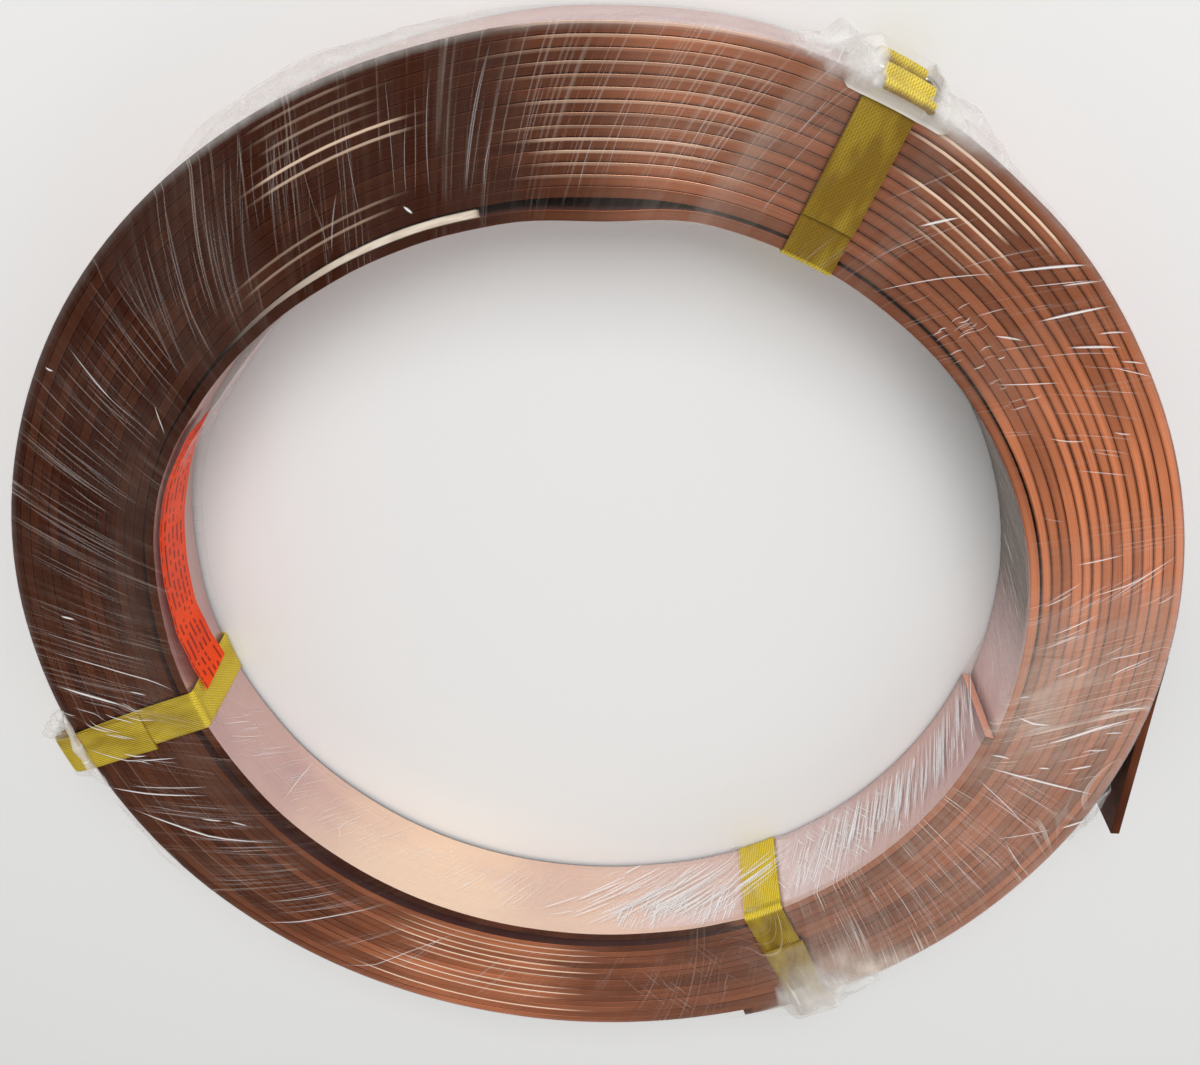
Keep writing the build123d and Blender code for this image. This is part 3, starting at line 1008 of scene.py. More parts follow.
class COIL_OT_label(bpy.types.Operator):
    """Lay the paper band askew in the bore, with its lower end over the left strap"""

    bl_idname = "coil.label"
    bl_label = "Paper label"

    def execute(self, context):
        width = context.scene.coil_label.width / MM
        rows, columns = 61, 13
        points, lay = [], []
        for side in (1, 0):
            for row in range(rows):
                share = row / (rows - 1)
                angle = LABEL_FIRST + (LABEL_LAST - LABEL_FIRST) * share
                middle = smooth_between(LABEL_MIDDLE, angle)
                upper_stand = smooth_between(LABEL_STAND, angle)
                lean = smooth_between(LABEL_LEAN, angle)
                for column in range(columns):
                    place = column / (columns - 1) - 0.5
                    ripple = 0.2 * math.sin(share * 9 + place * 2)
                    stand = upper_stand + lean * (0.5 - place) + ripple
                    reach = bore_reach(angle) - stand + (0.0 if side else LABEL_THICKNESS)
                    skew = 1.2 * place * (share - 0.5)
                    points.append(ring_point(reach, angle + skew, middle + place * width))
                    lay.append((share * LABEL_LENGTH * MM, place * width * MM, side))
        behind = rows * columns
        faces = grid_faces(rows, columns)
        faces += [face[::-1] for face in grid_faces(rows, columns, first=behind)]
        border = [row * columns for row in range(rows)]
        border += [(rows - 1) * columns + column for column in range(1, columns)]
        border += [row * columns + columns - 1 for row in range(rows - 2, -1, -1)]
        border += list(range(columns - 2, 0, -1))
        for here, beside in zip(border, border[1:] + border[:1]):
            faces.append((here, beside, behind + beside, behind + here))
        piece = new_piece("paper_band", points, faces, [label_finish()])
        note_vectors(piece, "lay", lay)
        turn_outwards(piece)
        piece.data.set_sharp_from_angle(angle=math.radians(50))
        settle(piece, "label_paper", "paper_label")
        return {"FINISHED"}


# How far film lies off the innermost turn, and off the label besides, in millimetres
BORE_REST = 0.35
OVER_LABEL = 3.2
# The slit in the rim's film that the free end comes through: angles, heights and least reach
SLIT_ANGLES = (-13.0, -3.0)
SLIT_HEIGHTS = (3, 38)
SLIT_REACH = 196
# Gathered film on the upper face: angle, reach, half spread round the ring, half spread across it, cover
MILKY_FACE = (
    (-8, 161, 8, 12, 0.2), (-6, 183, 9, 16, 0.05), (-56.5, 188, 4.0, 12, 0.4), (-53, 196, 5, 5, 0.4),
    (-61.5, 198, 4, 3, 0.42), (59, 197, 3, 2, 0.3), (196, 198, 4, 2.5, 0.3), (186, 158, 34, 8, 0.03),
    (38, 160, 5, 9, 0.04),
)
# The same on the bore wall: angle, height, half spread round, half spread up, cover
MILKY_BORE = ((-55, 26, 7, 22, 0.15), (285, 34, 9, 7, 0.3), (278, 6, 10, 7, 0.08))
# Even cover, strength of streaks and slant of streaks in degrees for each millimetre, round the ring
FACE_HAZE = (
    (-60, 0.1), (-40, 0.09), (-28, 0.11), (-18, 0.15), (-4, 0.16), (4, 0.13), (12, 0.045), (20, 0.0),
    (34, 0.0), (50, 0.015), (68, 0.04), (82, 0.05), (91, 0.008), (110, 0.0), (250, 0.0), (275, 0.01),
    (290, 0.03),
)
BORE_HAZE = (
    (-60, 0.42), (-48, 0.4), (-40, 0.2), (-28, 0.07), (-15, 0.06), (-11, 0.1), (-7, 0.26), (-2, 0.34),
    (10, 0.64), (32, 0.6), (44, 0.3), (60, 0.04), (126, 0.1), (138, 0.4), (150, 0.3), (158, 0.06),
    (192, 0.0), (205, 0.03), (228, 0.02), (255, 0.02), (270, 0.06), (282, 0.22), (296, 0.28),
)
FACE_STREAKS = (
    (-60, 2.8), (-20, 3.0), (8, 1.8), (20, 0.4), (40, 0.5), (60, 0.6), (80, 0.8), (100, 0.6), (130, 1.0),
    (200, 1.0), (235, 0.7), (260, 0.3), (290, 0.6),
)
BORE_STREAKS = (
    (-60, 3.0), (-20, 2.4), (-10, 1.2), (30, 0.6), (140, 0.2), (190, 0.2), (205, 0.8), (235, 0.4),
    (255, 0.6), (268, 2.2), (295, 3.0),
)
FACE_SLANT = (
    (-60, 0.1), (-30, 0.1), (-10, -0.2), (6, -0.12), (22, 0.1), (45, 0.2), (60, 0.15), (100, 0.12),
    (125, 0.24), (142, 0.16), (175, 0.12), (192, 0.18), (212, 0.26), (238, 0.26), (258, 0.18), (290, 0.1),
)
BORE_SLANT = ((-60, 0.15), (0, 0.12), (60, 0.1), (200, 0.1), (240, 0.25), (262, 0.5), (288, 0.45))
# How far the film hangs off the rim, in millimetres
RIM_SLACK = (
    (-50, 0.0), (-24, 0.3), (38, 0.0), (48, 1.2), (57, 2.2), (70, 1.8), (78, 1.2), (90, 0.8), (99, 2.6),
    (105, 3.4), (113, 5.0), (120, 4.4), (126, 1.5), (132, 0.0),
)
# Bands where one more layer lies: angle at the rim, angle at the bore, half width in degrees, cover
FACE_BANDS = (
    (71, 78, 1.3, 0.07), (69, 75, 3.0, 0.03), (131, 136, 6.5, 0.011), (124, 129, 3.0, 0.008),
    (110, 113, 5.0, 0.006), (98, 101, 4.5, 0.008), (150, 156, 5.0, 0.006), (38, 41, 3.0, 0.014),
    (30, 33, 2.2, 0.008), (-37, -33, 9.0, 0.025), (3, 1, 6.0, 0.025), (216, 223, 4.0, 0.006),
    (60, 57, 1.6, 0.02), (174, 180, 7.0, 0.005),
)


def bore_film_reach(angle):
    """Film spans from turn to turn, so it cuts across hollows of the bore."""
    past_end = apart(angle, INNER_END)
    if 0 <= past_end < 9:
        held = bore_reach(INNER_END - 0.5)
        reach = held + (bore_reach(angle) - held) * step(0.8, 9, past_end)
    else:
        reach = min(bore_reach(angle + more) for more in (-1.5, 0, 1.5))
    over_label = step(126, 143, angle % 360) * step(198, 194, angle % 360)
    return reach - BORE_REST - OVER_LABEL * over_label


def film_section(angle):
    """Closed path round the ring's section: reach, height, outward direction, part, run and slanted run."""
    film = bpy.context.scene.coil_film
    off = film.stand_off / MM
    low_x = bore_film_reach(angle)
    high_x = max(rim_reach(angle + more) for more in (-2, -1, 0, 1, 2)) + off
    low_z = BASE - off
    high_z = TOP + off
    radius = 0.9
    slack = round_the_ring(RIM_SLACK, angle)
    slants = {"bore": round_the_ring(BORE_SLANT, angle), "face": round_the_ring(FACE_SLANT, angle)}
    path = []
    run = shift = 0.0

    def walk(points, part):
        nonlocal run, shift
        for reach, height, out_x, out_z in points:
            if part == "rim":
                reach += slack * math.sin(math.pi * step(low_z, high_z, height)) ** 0.6
            if path:
                more = math.hypot(reach - path[-1][0], height - path[-1][1])
                run += more
                shift += more * slants.get(part, 0.12)
            path.append((reach, height, out_x, out_z, part, run, shift))

    walk(straight_points((low_x, low_z + radius), (low_x, high_z - radius), (-1, 0), 16), "bore")
    walk(corner_points(low_x + radius, high_z - radius, radius, 180, 3), "face")
    walk(straight_points((low_x + radius, high_z), (high_x - radius, high_z), (0, 1), 27), "face")
    walk(corner_points(high_x - radius, high_z - radius, radius, 90, 3), "rim")
    walk(straight_points((high_x, high_z - radius), (high_x, low_z + radius), (1, 0), 16), "rim")
    walk(corner_points(high_x - radius, low_z + radius, radius, 0, 3), "rim")
    walk(straight_points((high_x - radius, low_z), (low_x + radius, low_z), (0, -1), 14), "base")
    walk(corner_points(low_x + radius, low_z + radius, radius, 270, 3), "bore")
    return path


def strap_lift(angle, reach, height, part):
    """How far the straps, laps and buckles push the film out, in millimetres."""
    first_layer, second_layer, buckle = 1.2, 1.0, 3.6
    lift = 0.0
    for name, strap in STRAPS.items():
        away = off_strap(name, angle, reach)
        over = step(13.5, 8.6, away)
        rise = first_layer * over
        if part == "face":
            rise += second_layer * over * step(strap.lap_start - 2.5, strap.lap_start - 0.5, reach)
        if part == "rim":
            lower = BUCKLE_TILT * step(MIDDLE, MIDDLE - 10, height)
            rise += second_layer * over
            rise += (buckle + lower) * step(21, 12.5, away) * step(17, 9.5, abs(height - MIDDLE))
        lift = max(lift, rise)
    return lift


def shoulder_lift(angle, height):
    """How far the film is held off the rim by the straps' folds, in millimetres."""
    upper_wire = wire_heights()[0]
    held = step(upper_wire - 4, upper_wire + 2, height)
    folds = [strap.fold * step(14, 8.6, off_strap(name, angle, RIM_SIDE)) for name, strap in STRAPS.items()]
    return max(folds) * held


def wrinkle(shift, run):
    """Fine folds of the film, long across the ring's section and slanted round it."""
    turned = math.radians(shift)
    place = Vector((math.cos(turned) * 26, math.sin(turned) * 26, run * 0.035))
    fine = Vector((math.cos(turned) * 90, math.sin(turned) * 90, run * 0.05))
    return 0.16 * noise.noise(place) + 0.08 * noise.noise(fine)


def milky_cover(angle, reach, height, part):
    """Cover of gathered and doubled film, from 0, clear, to 1."""
    in_bore = part == "bore"
    cover = round_the_ring(BORE_HAZE if in_bore else FACE_HAZE, angle)
    across = height if in_bore else reach
    near_top = step(31, 37, height) if part == "rim" else 1.0
    for place, centre, spread_round, spread_across, strength in MILKY_BORE if in_bore else MILKY_FACE:
        off = (apart(angle, place) / spread_round) ** 2 + ((across - centre) / spread_across) ** 2
        if off < 9:
            cover += strength * near_top * math.exp(-off)
    if part == "face":
        for at_rim, at_bore, half, strength in FACE_BANDS:
            middle = at_bore + (at_rim - at_bore) * (reach - BORE_SIDE) / (RIM_SIDE - BORE_SIDE)
            off = apart(angle, middle)
            cover += strength * step(-half, -half + 0.5, off) * step(half, half - 0.5, off)
    if part in ("face", "bore"):
        for name in STRAPS:
            clings = 0.0 if name == "lower" and reach > 165 else 0.95
            cover *= 1 - clings * step(10, 7.5, off_strap(name, angle, reach))
    if part == "rim":
        upper, left, lower = (off_strap(name, angle, reach) for name in ("upper", "left", "lower"))
        cover += 0.4 * step(22, 13, upper) * step(8.2, 9.6, upper)
        cover += 0.4 * step(24, 12, lower) - 0.25 * step(10, 8, lower)
        cover += (0.06 + 0.04 * round_the_ring(RIM_SLACK, angle)) * step(8.2, 9.6, upper)
        cover *= step(7.5, 9.5, left)
    return min(1.0, cover)


def film_finish():
    film = bpy.context.scene.coil_film
    finish = Finish("stretch_film")
    lay = finish.laid()
    soft = finish.grain(lay, (480, 12, 1), 2.0, 0.55)
    crisp = finish.grain(lay, (1500, 7, 3), 1.0, 0.5)
    zones = finish.grain(lay, (34, 22, 5), 2.0, 0.6)
    cloud = finish.grain(lay, (150, 60, 2), 4.0, 0.65)
    # The white streaks are milky film along the creases and also their painted highlights
    broad = finish.times(finish.spread(soft, 0.46, 0.68), 0.018)
    thin = finish.times(finish.spread(crisp, 0.57, 0.72), 0.2)
    thin = finish.times(thin, finish.spread(zones, 0.45, 0.62))
    streaks = finish.plus(broad, thin)
    streaks = finish.times(streaks, finish.painted("streaky"))
    milky = finish.times(finish.painted("milky"), finish.spread(cloud, 0.25, 0.7, 0.7, 1.3))
    cover = finish.plus(finish.plus(milky, streaks), film.clear, clamp=True)
    edge = finish.add("ShaderNodeLayerWeight", {"Blend": 0.25}).outputs["Facing"]
    cover = finish.plus(cover, finish.times(finish.number("POWER", edge, 5.0), 0.1), clamp=True)
    body = finish.mixed(finish.painted("inside"), tuple(film.colour), tuple(film.rosy))
    body = finish.mixed(finish.painted("bunched"), body, tuple(film.gathered))
    body = finish.mixed(finish.painted("shaded"), body, tuple(film.shaded))
    height = finish.plus(soft, finish.times(crisp, 0.5))
    return finish.done(
        base_color=body, roughness=finish.spread(finish.painted("milky"), 0.1, 0.5, 0.22, 0.6), alpha=cover,
        normal=finish.bump(height, 0.00025, 0.7), specular_ior_level=0.5,
    )


def gathered_finish():
    film = bpy.context.scene.coil_film
    finish = Finish("gathered_film")
    lay = finish.laid()
    folds = finish.grain(lay, (420, 60, 1), 2.0, 0.55)
    cloud = finish.grain(lay, (120, 70, 1), 3.0, 0.6)
    # Painted highlights on the folds' ridges, where the film is also made a little thicker
    bright = finish.spread(folds, 0.56, 0.7)
    veil = finish.plus(finish.spread(cloud, 0.3, 0.7, 0.5, 0.95), finish.times(bright, 0.4))
    cover = finish.times(veil, finish.painted("milky"), clamp=True)
    body = finish.mixed(finish.times(bright, 0.7), tuple(film.gathered), TONES["fold_highlight"])
    normal = finish.bump(finish.plus(cloud, folds), 0.0008, 0.6)
    return finish.done(base_color=body, roughness=0.34, alpha=cover, normal=normal, specular_ior_level=0.5)


class COIL_OT_film(bpy.types.Operator):
    """Wrap the ring in a sleeve of stretch film that rises over straps and buckles"""

    bl_idname = "coil.film"
    bl_label = "Stretch film"

    def execute(self, context):
        steps = context.scene.coil_film.steps
        points, lay = [], []
        painted = {"milky": [], "streaky": [], "shaded": [], "inside": [], "bunched": []}
        for row in range(steps):
            angle = 360 * row / steps
            streaky = {
                "bore": round_the_ring(BORE_STREAKS, angle),
                "face": round_the_ring(FACE_STREAKS, angle),
            }
            in_shade = step(-8, 8, apart(angle, 0)) * step(48, 36, apart(angle, 0))
            for reach, height, out_x, out_z, part, run, shift in film_section(angle):
                lift = strap_lift(angle, reach, height, part) + wrinkle(angle + shift, run)
                above_floor = max(0.05, height + out_z * lift)
                beyond = shoulder_lift(angle, height) if part == "rim" else 0.0
                points.append(ring_point(reach + out_x * lift + beyond, angle, above_floor))
                lay.append((math.radians(angle + shift) * 0.17, run * MM, 0))
                painted["milky"].append(milky_cover(angle, reach, height, part))
                painted["streaky"].append(streaky.get(part, 1.0))
                painted["shaded"].append(in_shade if part == "bore" else 0.0)
                painted["inside"].append(1.0 if part == "bore" else 0.0)
                painted["bunched"].append(1.0 if part == "rim" else 0.0)
        faces = grid_faces(steps, len(points) // steps, close_rows=True, close_columns=True)
        faces = [face for face in faces if not self.in_slit(points, face)]
        piece = new_piece("film_sleeve", points, faces, [film_finish()])
        note_vectors(piece, "lay", lay)
        note_numbers(piece, **painted)
        settle(piece, "film", "stretch_film")
        return {"FINISHED"}

    def in_slit(self, points, face):
        """Whether a face lies where the strip's free end comes out through the rim's film."""
        middle = sum((points[corner] for corner in face), Vector()) / len(face) / MM
        angle = math.degrees(math.atan2(middle.y, middle.x))
        on_rim = middle.xy.length > SLIT_REACH
        at_height = SLIT_HEIGHTS[0] < middle.z < SLIT_HEIGHTS[1]
        return on_rim and at_height and SLIT_ANGLES[0] < angle < SLIT_ANGLES[1]


# Loose film bunched off the rim: swell in millimetres by angle, then the section as shares of the swell and
# heights, then fold depth in millimetres and cover
Gather = namedtuple("Gather", "swell section fold cover")
UPPER_STRAP_SECTION = ((-0.6, 40.6), (0.0, 41.0), (0.45, 40.2), (0.8, 37), (1.0, 30), (0.9, 20), (0.3, 6))
GATHERS = {
    "beside_upper_strap": Gather(
        ((66.8, 0), (68.5, 6.5), (70.6, 9.5), (71.6, 4), (75, 0)), UPPER_STRAP_SECTION, 0.9, 0.42
    ),
    "below_upper_strap": Gather(
        ((53, 0), (55.5, 3.5), (58.4, 6.2), (61, 5.5), (63.2, 0)), UPPER_STRAP_SECTION, 0.8, 0.34
    ),
    "over_lower_strap": Gather(
        ((-67, 0), (-65.3, 7), (-63.4, 10.5), (-60, 10.8), (-57.5, 6.5), (-55, 3.2), (-52.5, 0)),
        ((-2.6, 42.6), (-1.2, 42.9), (-0.2, 42.8), (0.5, 41.5), (0.9, 37), (1.0, 30), (0.8, 18), (0.2, 6)),
        1.0, 0.6,
    ),
    "below_left_strap": Gather(
        ((-157, 0), (-153, 1.6), (-147, 6.4), (-144.6, 5.0), (-142.4, 0)),
        ((-0.5, 40.4), (0.0, 40.6), (0.6, 38), (1.0, 31), (0.9, 22), (0.2, 12)), 0.8, 0.34,
    ),
    "behind_free_end": Gather(
        ((-25.5, 0), (-22.5, 7), (-20, 7.6), (-18, 6.0), (-16.4, 0)),
        ((-0.3, 40.4), (0.0, 40.6), (0.6, 37), (1.0, 30), (0.7, 20), (0.1, 12)), 0.7, 0.4,
    ),
    "off_far_rim": Gather(
        (
            (96, 0), (100, 2.0), (104, 4.0), (108, 3.4), (113, 6.0), (118, 5.0), (123, 4.8), (127, 1.2),
            (130, 0),
        ),
        ((-0.2, 40.5), (0.2, 40.5), (0.8, 36), (1.0, 28), (0.9, 16), (0.1, 6)), 0.6, 0.26,
    ),
}
# Film rolled up at the left strap: three places along it by angle, reach and height over the strip, then its
# radius in millimetres and how lumpy it is
ROLLS = {
    "rope": (((-169.0, 195.6, 1.6), (-164.0, 195.5, 3.7), (-158.8, 195.9, 1.4)), 1.75, 0.5),
    "knot": (((-169.4, 195.6, 1.2), (-167.8, 201.0, 1.2), (-166.4, 206.6, -1.6)), 2.9, 1.3),
}
ROLL_COVER = 0.55


class COIL_OT_gathers(bpy.types.Operator):
    """Bunch loose film beside the buckles, over the lower strap and where it hangs off the rim"""

    bl_idname = "coil.gathers"
    bl_label = "Gathered film"

    def execute(self, context):
        material = gathered_finish()
        for order, (name, gather) in enumerate(GATHERS.items()):
            self.bunch(order, name, gather, material)
        for name, (knots, radius, lumps) in ROLLS.items():
            self.roll(name, knots, radius, lumps, material)
        return {"FINISHED"}

    def bunch(self, order, name, gather, material):
        """Film bunched off the rim: swollen by angle, shaped by its section and creased all over."""
        rows, columns = 73, 41
        first, last = gather.swell[0][0], gather.swell[-1][0]
        offsets, heights = (tuple(enumerate(values)) for values in zip(*gather.section))
        points, lay, milky = [], [], []
        for row in range(rows):
            share = row / (rows - 1)
            angle = first + (last - first) * share
            grown = smooth_between(gather.swell, angle)
            loose = min(1.0, grown / 3)
            rim = max(rim_reach(angle + more) for more in (-1, 0, 1)) + 0.6
            for column in range(columns):
                across = column / (columns - 1)
                at = across * (len(gather.section) - 1)
                offset, height = smooth_between(offsets, at), smooth_between(heights, at)
                place = Vector((share * (last - first) * 0.3, across * 2.6, order * 7.0))
                crease = abs(noise.noise(place * 1.3)) * 1.6 + abs(noise.noise(place * 3.1)) * 0.7
                reach = rim + offset * grown - gather.fold * crease * loose * step(-0.6, 0.6, offset)
                rise = gather.fold * 0.5 * noise.noise(place * 2.2 + Vector((9, 2, 5))) * loose
                points.append(ring_point(reach, angle, max(0.1, height + rise)))
                lay.append((share * abs(last - first) * 0.0034, across * 0.045, order))
                ragged = 0.5 + noise.noise(place * 2.6) * 0.5
                ends = step(0.0, 0.12 + 0.1 * ragged, share) * step(1.0, 0.88 - 0.1 * ragged, share)
                brim = step(0.0, 0.1 + 0.1 * ragged, across) * step(1.0, 0.85, across)
                milky.append(gather.cover * ends * brim)
        settle_sheet(f"film_{name}", points, columns, material, lay, "milky", milky)

    def roll(self, name, knots, radius, lumps, material):
        """Film rolled up along a curve through three knots, tapering to both ends."""
        line = []
        count = 26
        for order in range(count + 1):
            at = order / count * 2
            shares = ((2 - at) * (1 - at) / 2, at * (2 - at), at * (at - 1) / 2)
            angle, reach, lift = (
                sum(value * share for value, share in zip(values, shares)) for values in zip(*knots)
            )
            line.append(ring_point(reach, angle, TOP + lift) / MM)

        def radius_at(share, turned):
            taper = math.sin(math.pi * share) ** 0.6
            place = Vector((share * 6, math.cos(turned) * 1.1, math.sin(turned) * 1.1))
            return radius * (0.1 + 0.9 * taper) * (1 + lumps * noise.noise(place))

        piece = tube_piece(f"film_{name}", line, radius_at, 20, [material])
        note_numbers(piece, milky=[ROLL_COVER] * len(piece.data.vertices))
        settle(piece, "film")


# Bold creases read off the photograph: width, then angle and reach of each point along the crease
FACE_CREASES = (
    (0.5, (31, 197), (34, 187)), (1.0, (35, 193), (38, 179)), (0.7, (36, 196), (37.5, 188)),
    (1.1, (39, 196), (42, 176)), (0.7, (41.5, 197), (43.5, 187)), (1.1, (43.3, 197), (45, 190), (48, 178)),
    (0.5, (48, 178), (52, 166), (57, 150)), (1.0, (54.5, 182), (57.3, 172.5)), (0.8, (41, 171), (43.5, 165)),
    (0.6, (32.5, 196.5), (34, 190)), (0.6, (26.5, 186), (27.5, 181)),
    (1.2, (-18.2, 197), (-18.6, 174), (-19, 150)), (1.6, (-7, 196), (-9.5, 182), (-11.5, 174), (-13.6, 166)),
    (1.0, (-6, 197), (-7.4, 180)), (0.8, (-9.6, 192), (-10.2, 185)),
    (1.1, (-10.2, 167), (-10.4, 160), (-9.8, 152.4)),
    (0.7, (-6.5, 155), (-7, 151)), (1.0, (-16.7, 159), (-16.9, 151)), (1.0, (-16.5, 174), (-16.9, 169.5)),
    (1.2, (-21.5, 199), (-24, 192)), (0.6, (-24, 191), (-29, 174)), (0.6, (-31, 194), (-28.5, 178)),
    (0.6, (-25.6, 182), (-21, 150)), (0.7, (12.4, 196), (9.6, 181), (8, 165)),
    (0.7, (13.2, 179), (12.8, 162)),
    (0.7, (1.2, 192), (-0.4, 175)), (0.8, (-12, 190), (-12.8, 182)), (1.1, (-14.5, 188), (-16, 180)),
    (1.1, (178.2, 184), (178.6, 178.8)), (0.9, (149.4, 194), (149.4, 191.3)),
    (1.1, (109, 158), (108.3, 155)),
    (0.5, (146, 192), (148.4, 178), (149.6, 171)), (0.5, (147.2, 160.8), (150.4, 153.5)),
    (0.7, (182.4, 195), (184.8, 176), (187.6, 158.5), (190, 149.7)),
    (1.3, (187.2, 194.7), (189.3, 182), (191.4, 170.2)),
    (0.8, (189, 168.5), (190, 162)), (1.0, (201.4, 198), (204, 184), (207.6, 162)),
    (1.2, (204.8, 196), (209.2, 185), (213.2, 176), (219.6, 154.7)), (0.6, (202, 191), (206.4, 158.6)),
    (1.0, (210, 174), (212, 166.3)), (0.9, (212.4, 164.7), (214.4, 159.7)),
    (0.7, (199.2, 181), (200.4, 163.5)),
    (0.8, (226.4, 198), (230, 186), (232.8, 174), (239.2, 148.6)),
    (0.6, (237.6, 198), (241.6, 189.7), (244.8, 174), (251.2, 148.6)),
    (0.8, (192.2, 190), (194.2, 180)), (0.7, (194.0, 184), (195.6, 175)), (0.6, (190.6, 197), (191.6, 192)),
    (0.7, (195.0, 196), (198.8, 180), (200.6, 174)),
)
BORE_CREASES = (
    (0.7, (214.4, 36.5), (216, 18), (217.6, 1.5)), (0.6, (256.4, 30), (259.6, 20)),
    (1.0, (261.2, 29), (268.8, 18)),
    (0.7, (262.4, 31.5), (268.4, 26.5)), (1.2, (276, 25), (283, 14)), (1.2, (274.8, 7.5), (278.8, 1)),
    (1.5, (282.8, 19), (287, 10)), (1.1, (284, 12), (288, 4)), (1.2, (-16.4, 36), (-14.6, 20), (-10.4, 1)),
    (1.1, (-36.8, 19), (-34.8, 8)), (0.6, (227, 36), (225.5, 26), (230, 8)),
)
# Scattered fine creases: count, angles from and to, reaches or heights from and to, slant in degrees of each
# millimetre, shortest and longest, width, cover
FACE_SCATTER = (
    (40, 114, 136, 152, 197, -0.24, 12, 40, 0.5, 0.09),
    (90, 136, 190, 152, 197, -0.14, 12, 44, 0.45, 0.14), (60, 198, 240, 150, 197, -0.24, 10, 40, 0.4, 0.2),
    (80, -58, -20, 150, 197, -0.08, 10, 44, 0.45, 0.22), (46, -20, 12, 150, 196, 0.2, 5, 20, 0.5, 0.5),
    (26, 18, 60, 150, 196, -0.2, 6, 26, 0.36, 0.35), (34, 68, 118, 152, 197, -0.12, 14, 44, 0.4, 0.18),
    (30, 236, 294, 150, 197, -0.16, 10, 34, 0.3, 0.18), (10, 190, 199, 160, 196, -0.19, 5, 14, 0.6, 0.7),
    (26, 34, 48, 151, 168, -0.1, 2, 7, 0.45, 0.5), (16, 278, 294, 152, 196, 0.2, 8, 20, 0.3, 0.2),
)
BORE_SCATTER = (
    (110, 266, 294, 2, 37, -0.7, 5, 22, 0.8, 0.95), (90, 274, 294, 20, 39, -0.15, 4, 12, 0.7, 0.95),
    (230, -57, -16, 2, 37, -0.16, 6, 30, 0.85, 0.9), (70, -57, -34, 2, 37, 0.25, 4, 14, 0.6, 0.7),
    (150, 198, 262, 2, 37, -0.3, 6, 24, 0.4, 0.45), (30, -13, 22, 2, 36, -0.2, 6, 22, 0.5, 0.45),
)


def crease_ribbon(line, width, cover, points, faces, fade):
    """Low ridge along a line of places and outward directions, lens-shaped and pointed at both ends."""
    first = len(points)
    count = len(line)
    for order, (here, out) in enumerate(line):
        before = line[max(0, order - 1)][0]
        after = line[min(count - 1, order + 1)][0]
        side = (after - before).cross(out).normalized()
        share = order / (count - 1)
        swell = math.sin(math.pi * share) ** 0.9
        half = width / 2 * (0.06 + 0.94 * swell)
        points.append((here - side * half) * MM)
        points.append((here + out * 0.22 * width * swell) * MM)
        points.append((here + side * half) * MM)
        fade.extend((0.0, cover * step(0.0, 0.25, share) * step(1.0, 0.75, share), 0.0))
    faces += grid_faces(count, 3, first=first)


def crease_line(kind, knots, sway):
    """Places along a crease over the film, from its knots' angles and reaches or heights."""
    count = 12
    line = []
    total = len(knots) - 1
    for order in range(count):
        at = order / (count - 1) * total
        first = min(total - 1, int(at))
        share = at - first
        angle = knots[first][0] + (knots[first + 1][0] - knots[first][0]) * share
        place = knots[first][1] + (knots[first + 1][1] - knots[first][1]) * share
        angle += sway * math.sin(math.pi * order / (count - 1))
        if kind == "face":
            lift = strap_lift(angle, place, TOP, "face")
            line.append((ring_point(place, angle, TOP + 0.5 + lift) / MM, Vector((0, 0, 1))))
        else:
            lift = strap_lift(angle, BORE_SIDE, place, "bore")
            reach = bore_film_reach(angle) - 0.25 - lift
            outward = -ring_point(1 / MM, angle, 0)
            line.append((ring_point(reach, angle, place) / MM, outward))
    return line


# The crease ribbons' white is milky film and also a painted highlight of each crease
def crease_finish():
    finish = Finish("film_crease")
    return finish.done(
        base_color=TONES["film_crease"], roughness=0.3, alpha=finish.painted("fade"), specular_ior_level=0.6,
    )


def drawn_finish(name):
    """Film drawn tight: its colour runs from painted light to painted shade along the piece, with painted
    shade in its folds.
    """
    lit_tone, shaded_tone, fold = DRAWN_TONES[name]
    finish = Finish(name)
    shaded_share = finish.laid_parts()[2]
    folds = finish.grain(finish.laid(), (160, 900, 1), 3.0, 0.6)
    body = finish.mixed(finish.spread(shaded_share, 0.3, 0.75), lit_tone, shaded_tone)
    body = finish.mixed(finish.spread(folds, 0.35, 0.65, 0.45, 0.0), body, fold)
    return finish.done(
        base_color=body, roughness=0.4, alpha=finish.painted("fade"), normal=finish.bump(folds, 0.0001),
        specular_ior_level=0.4,
    )


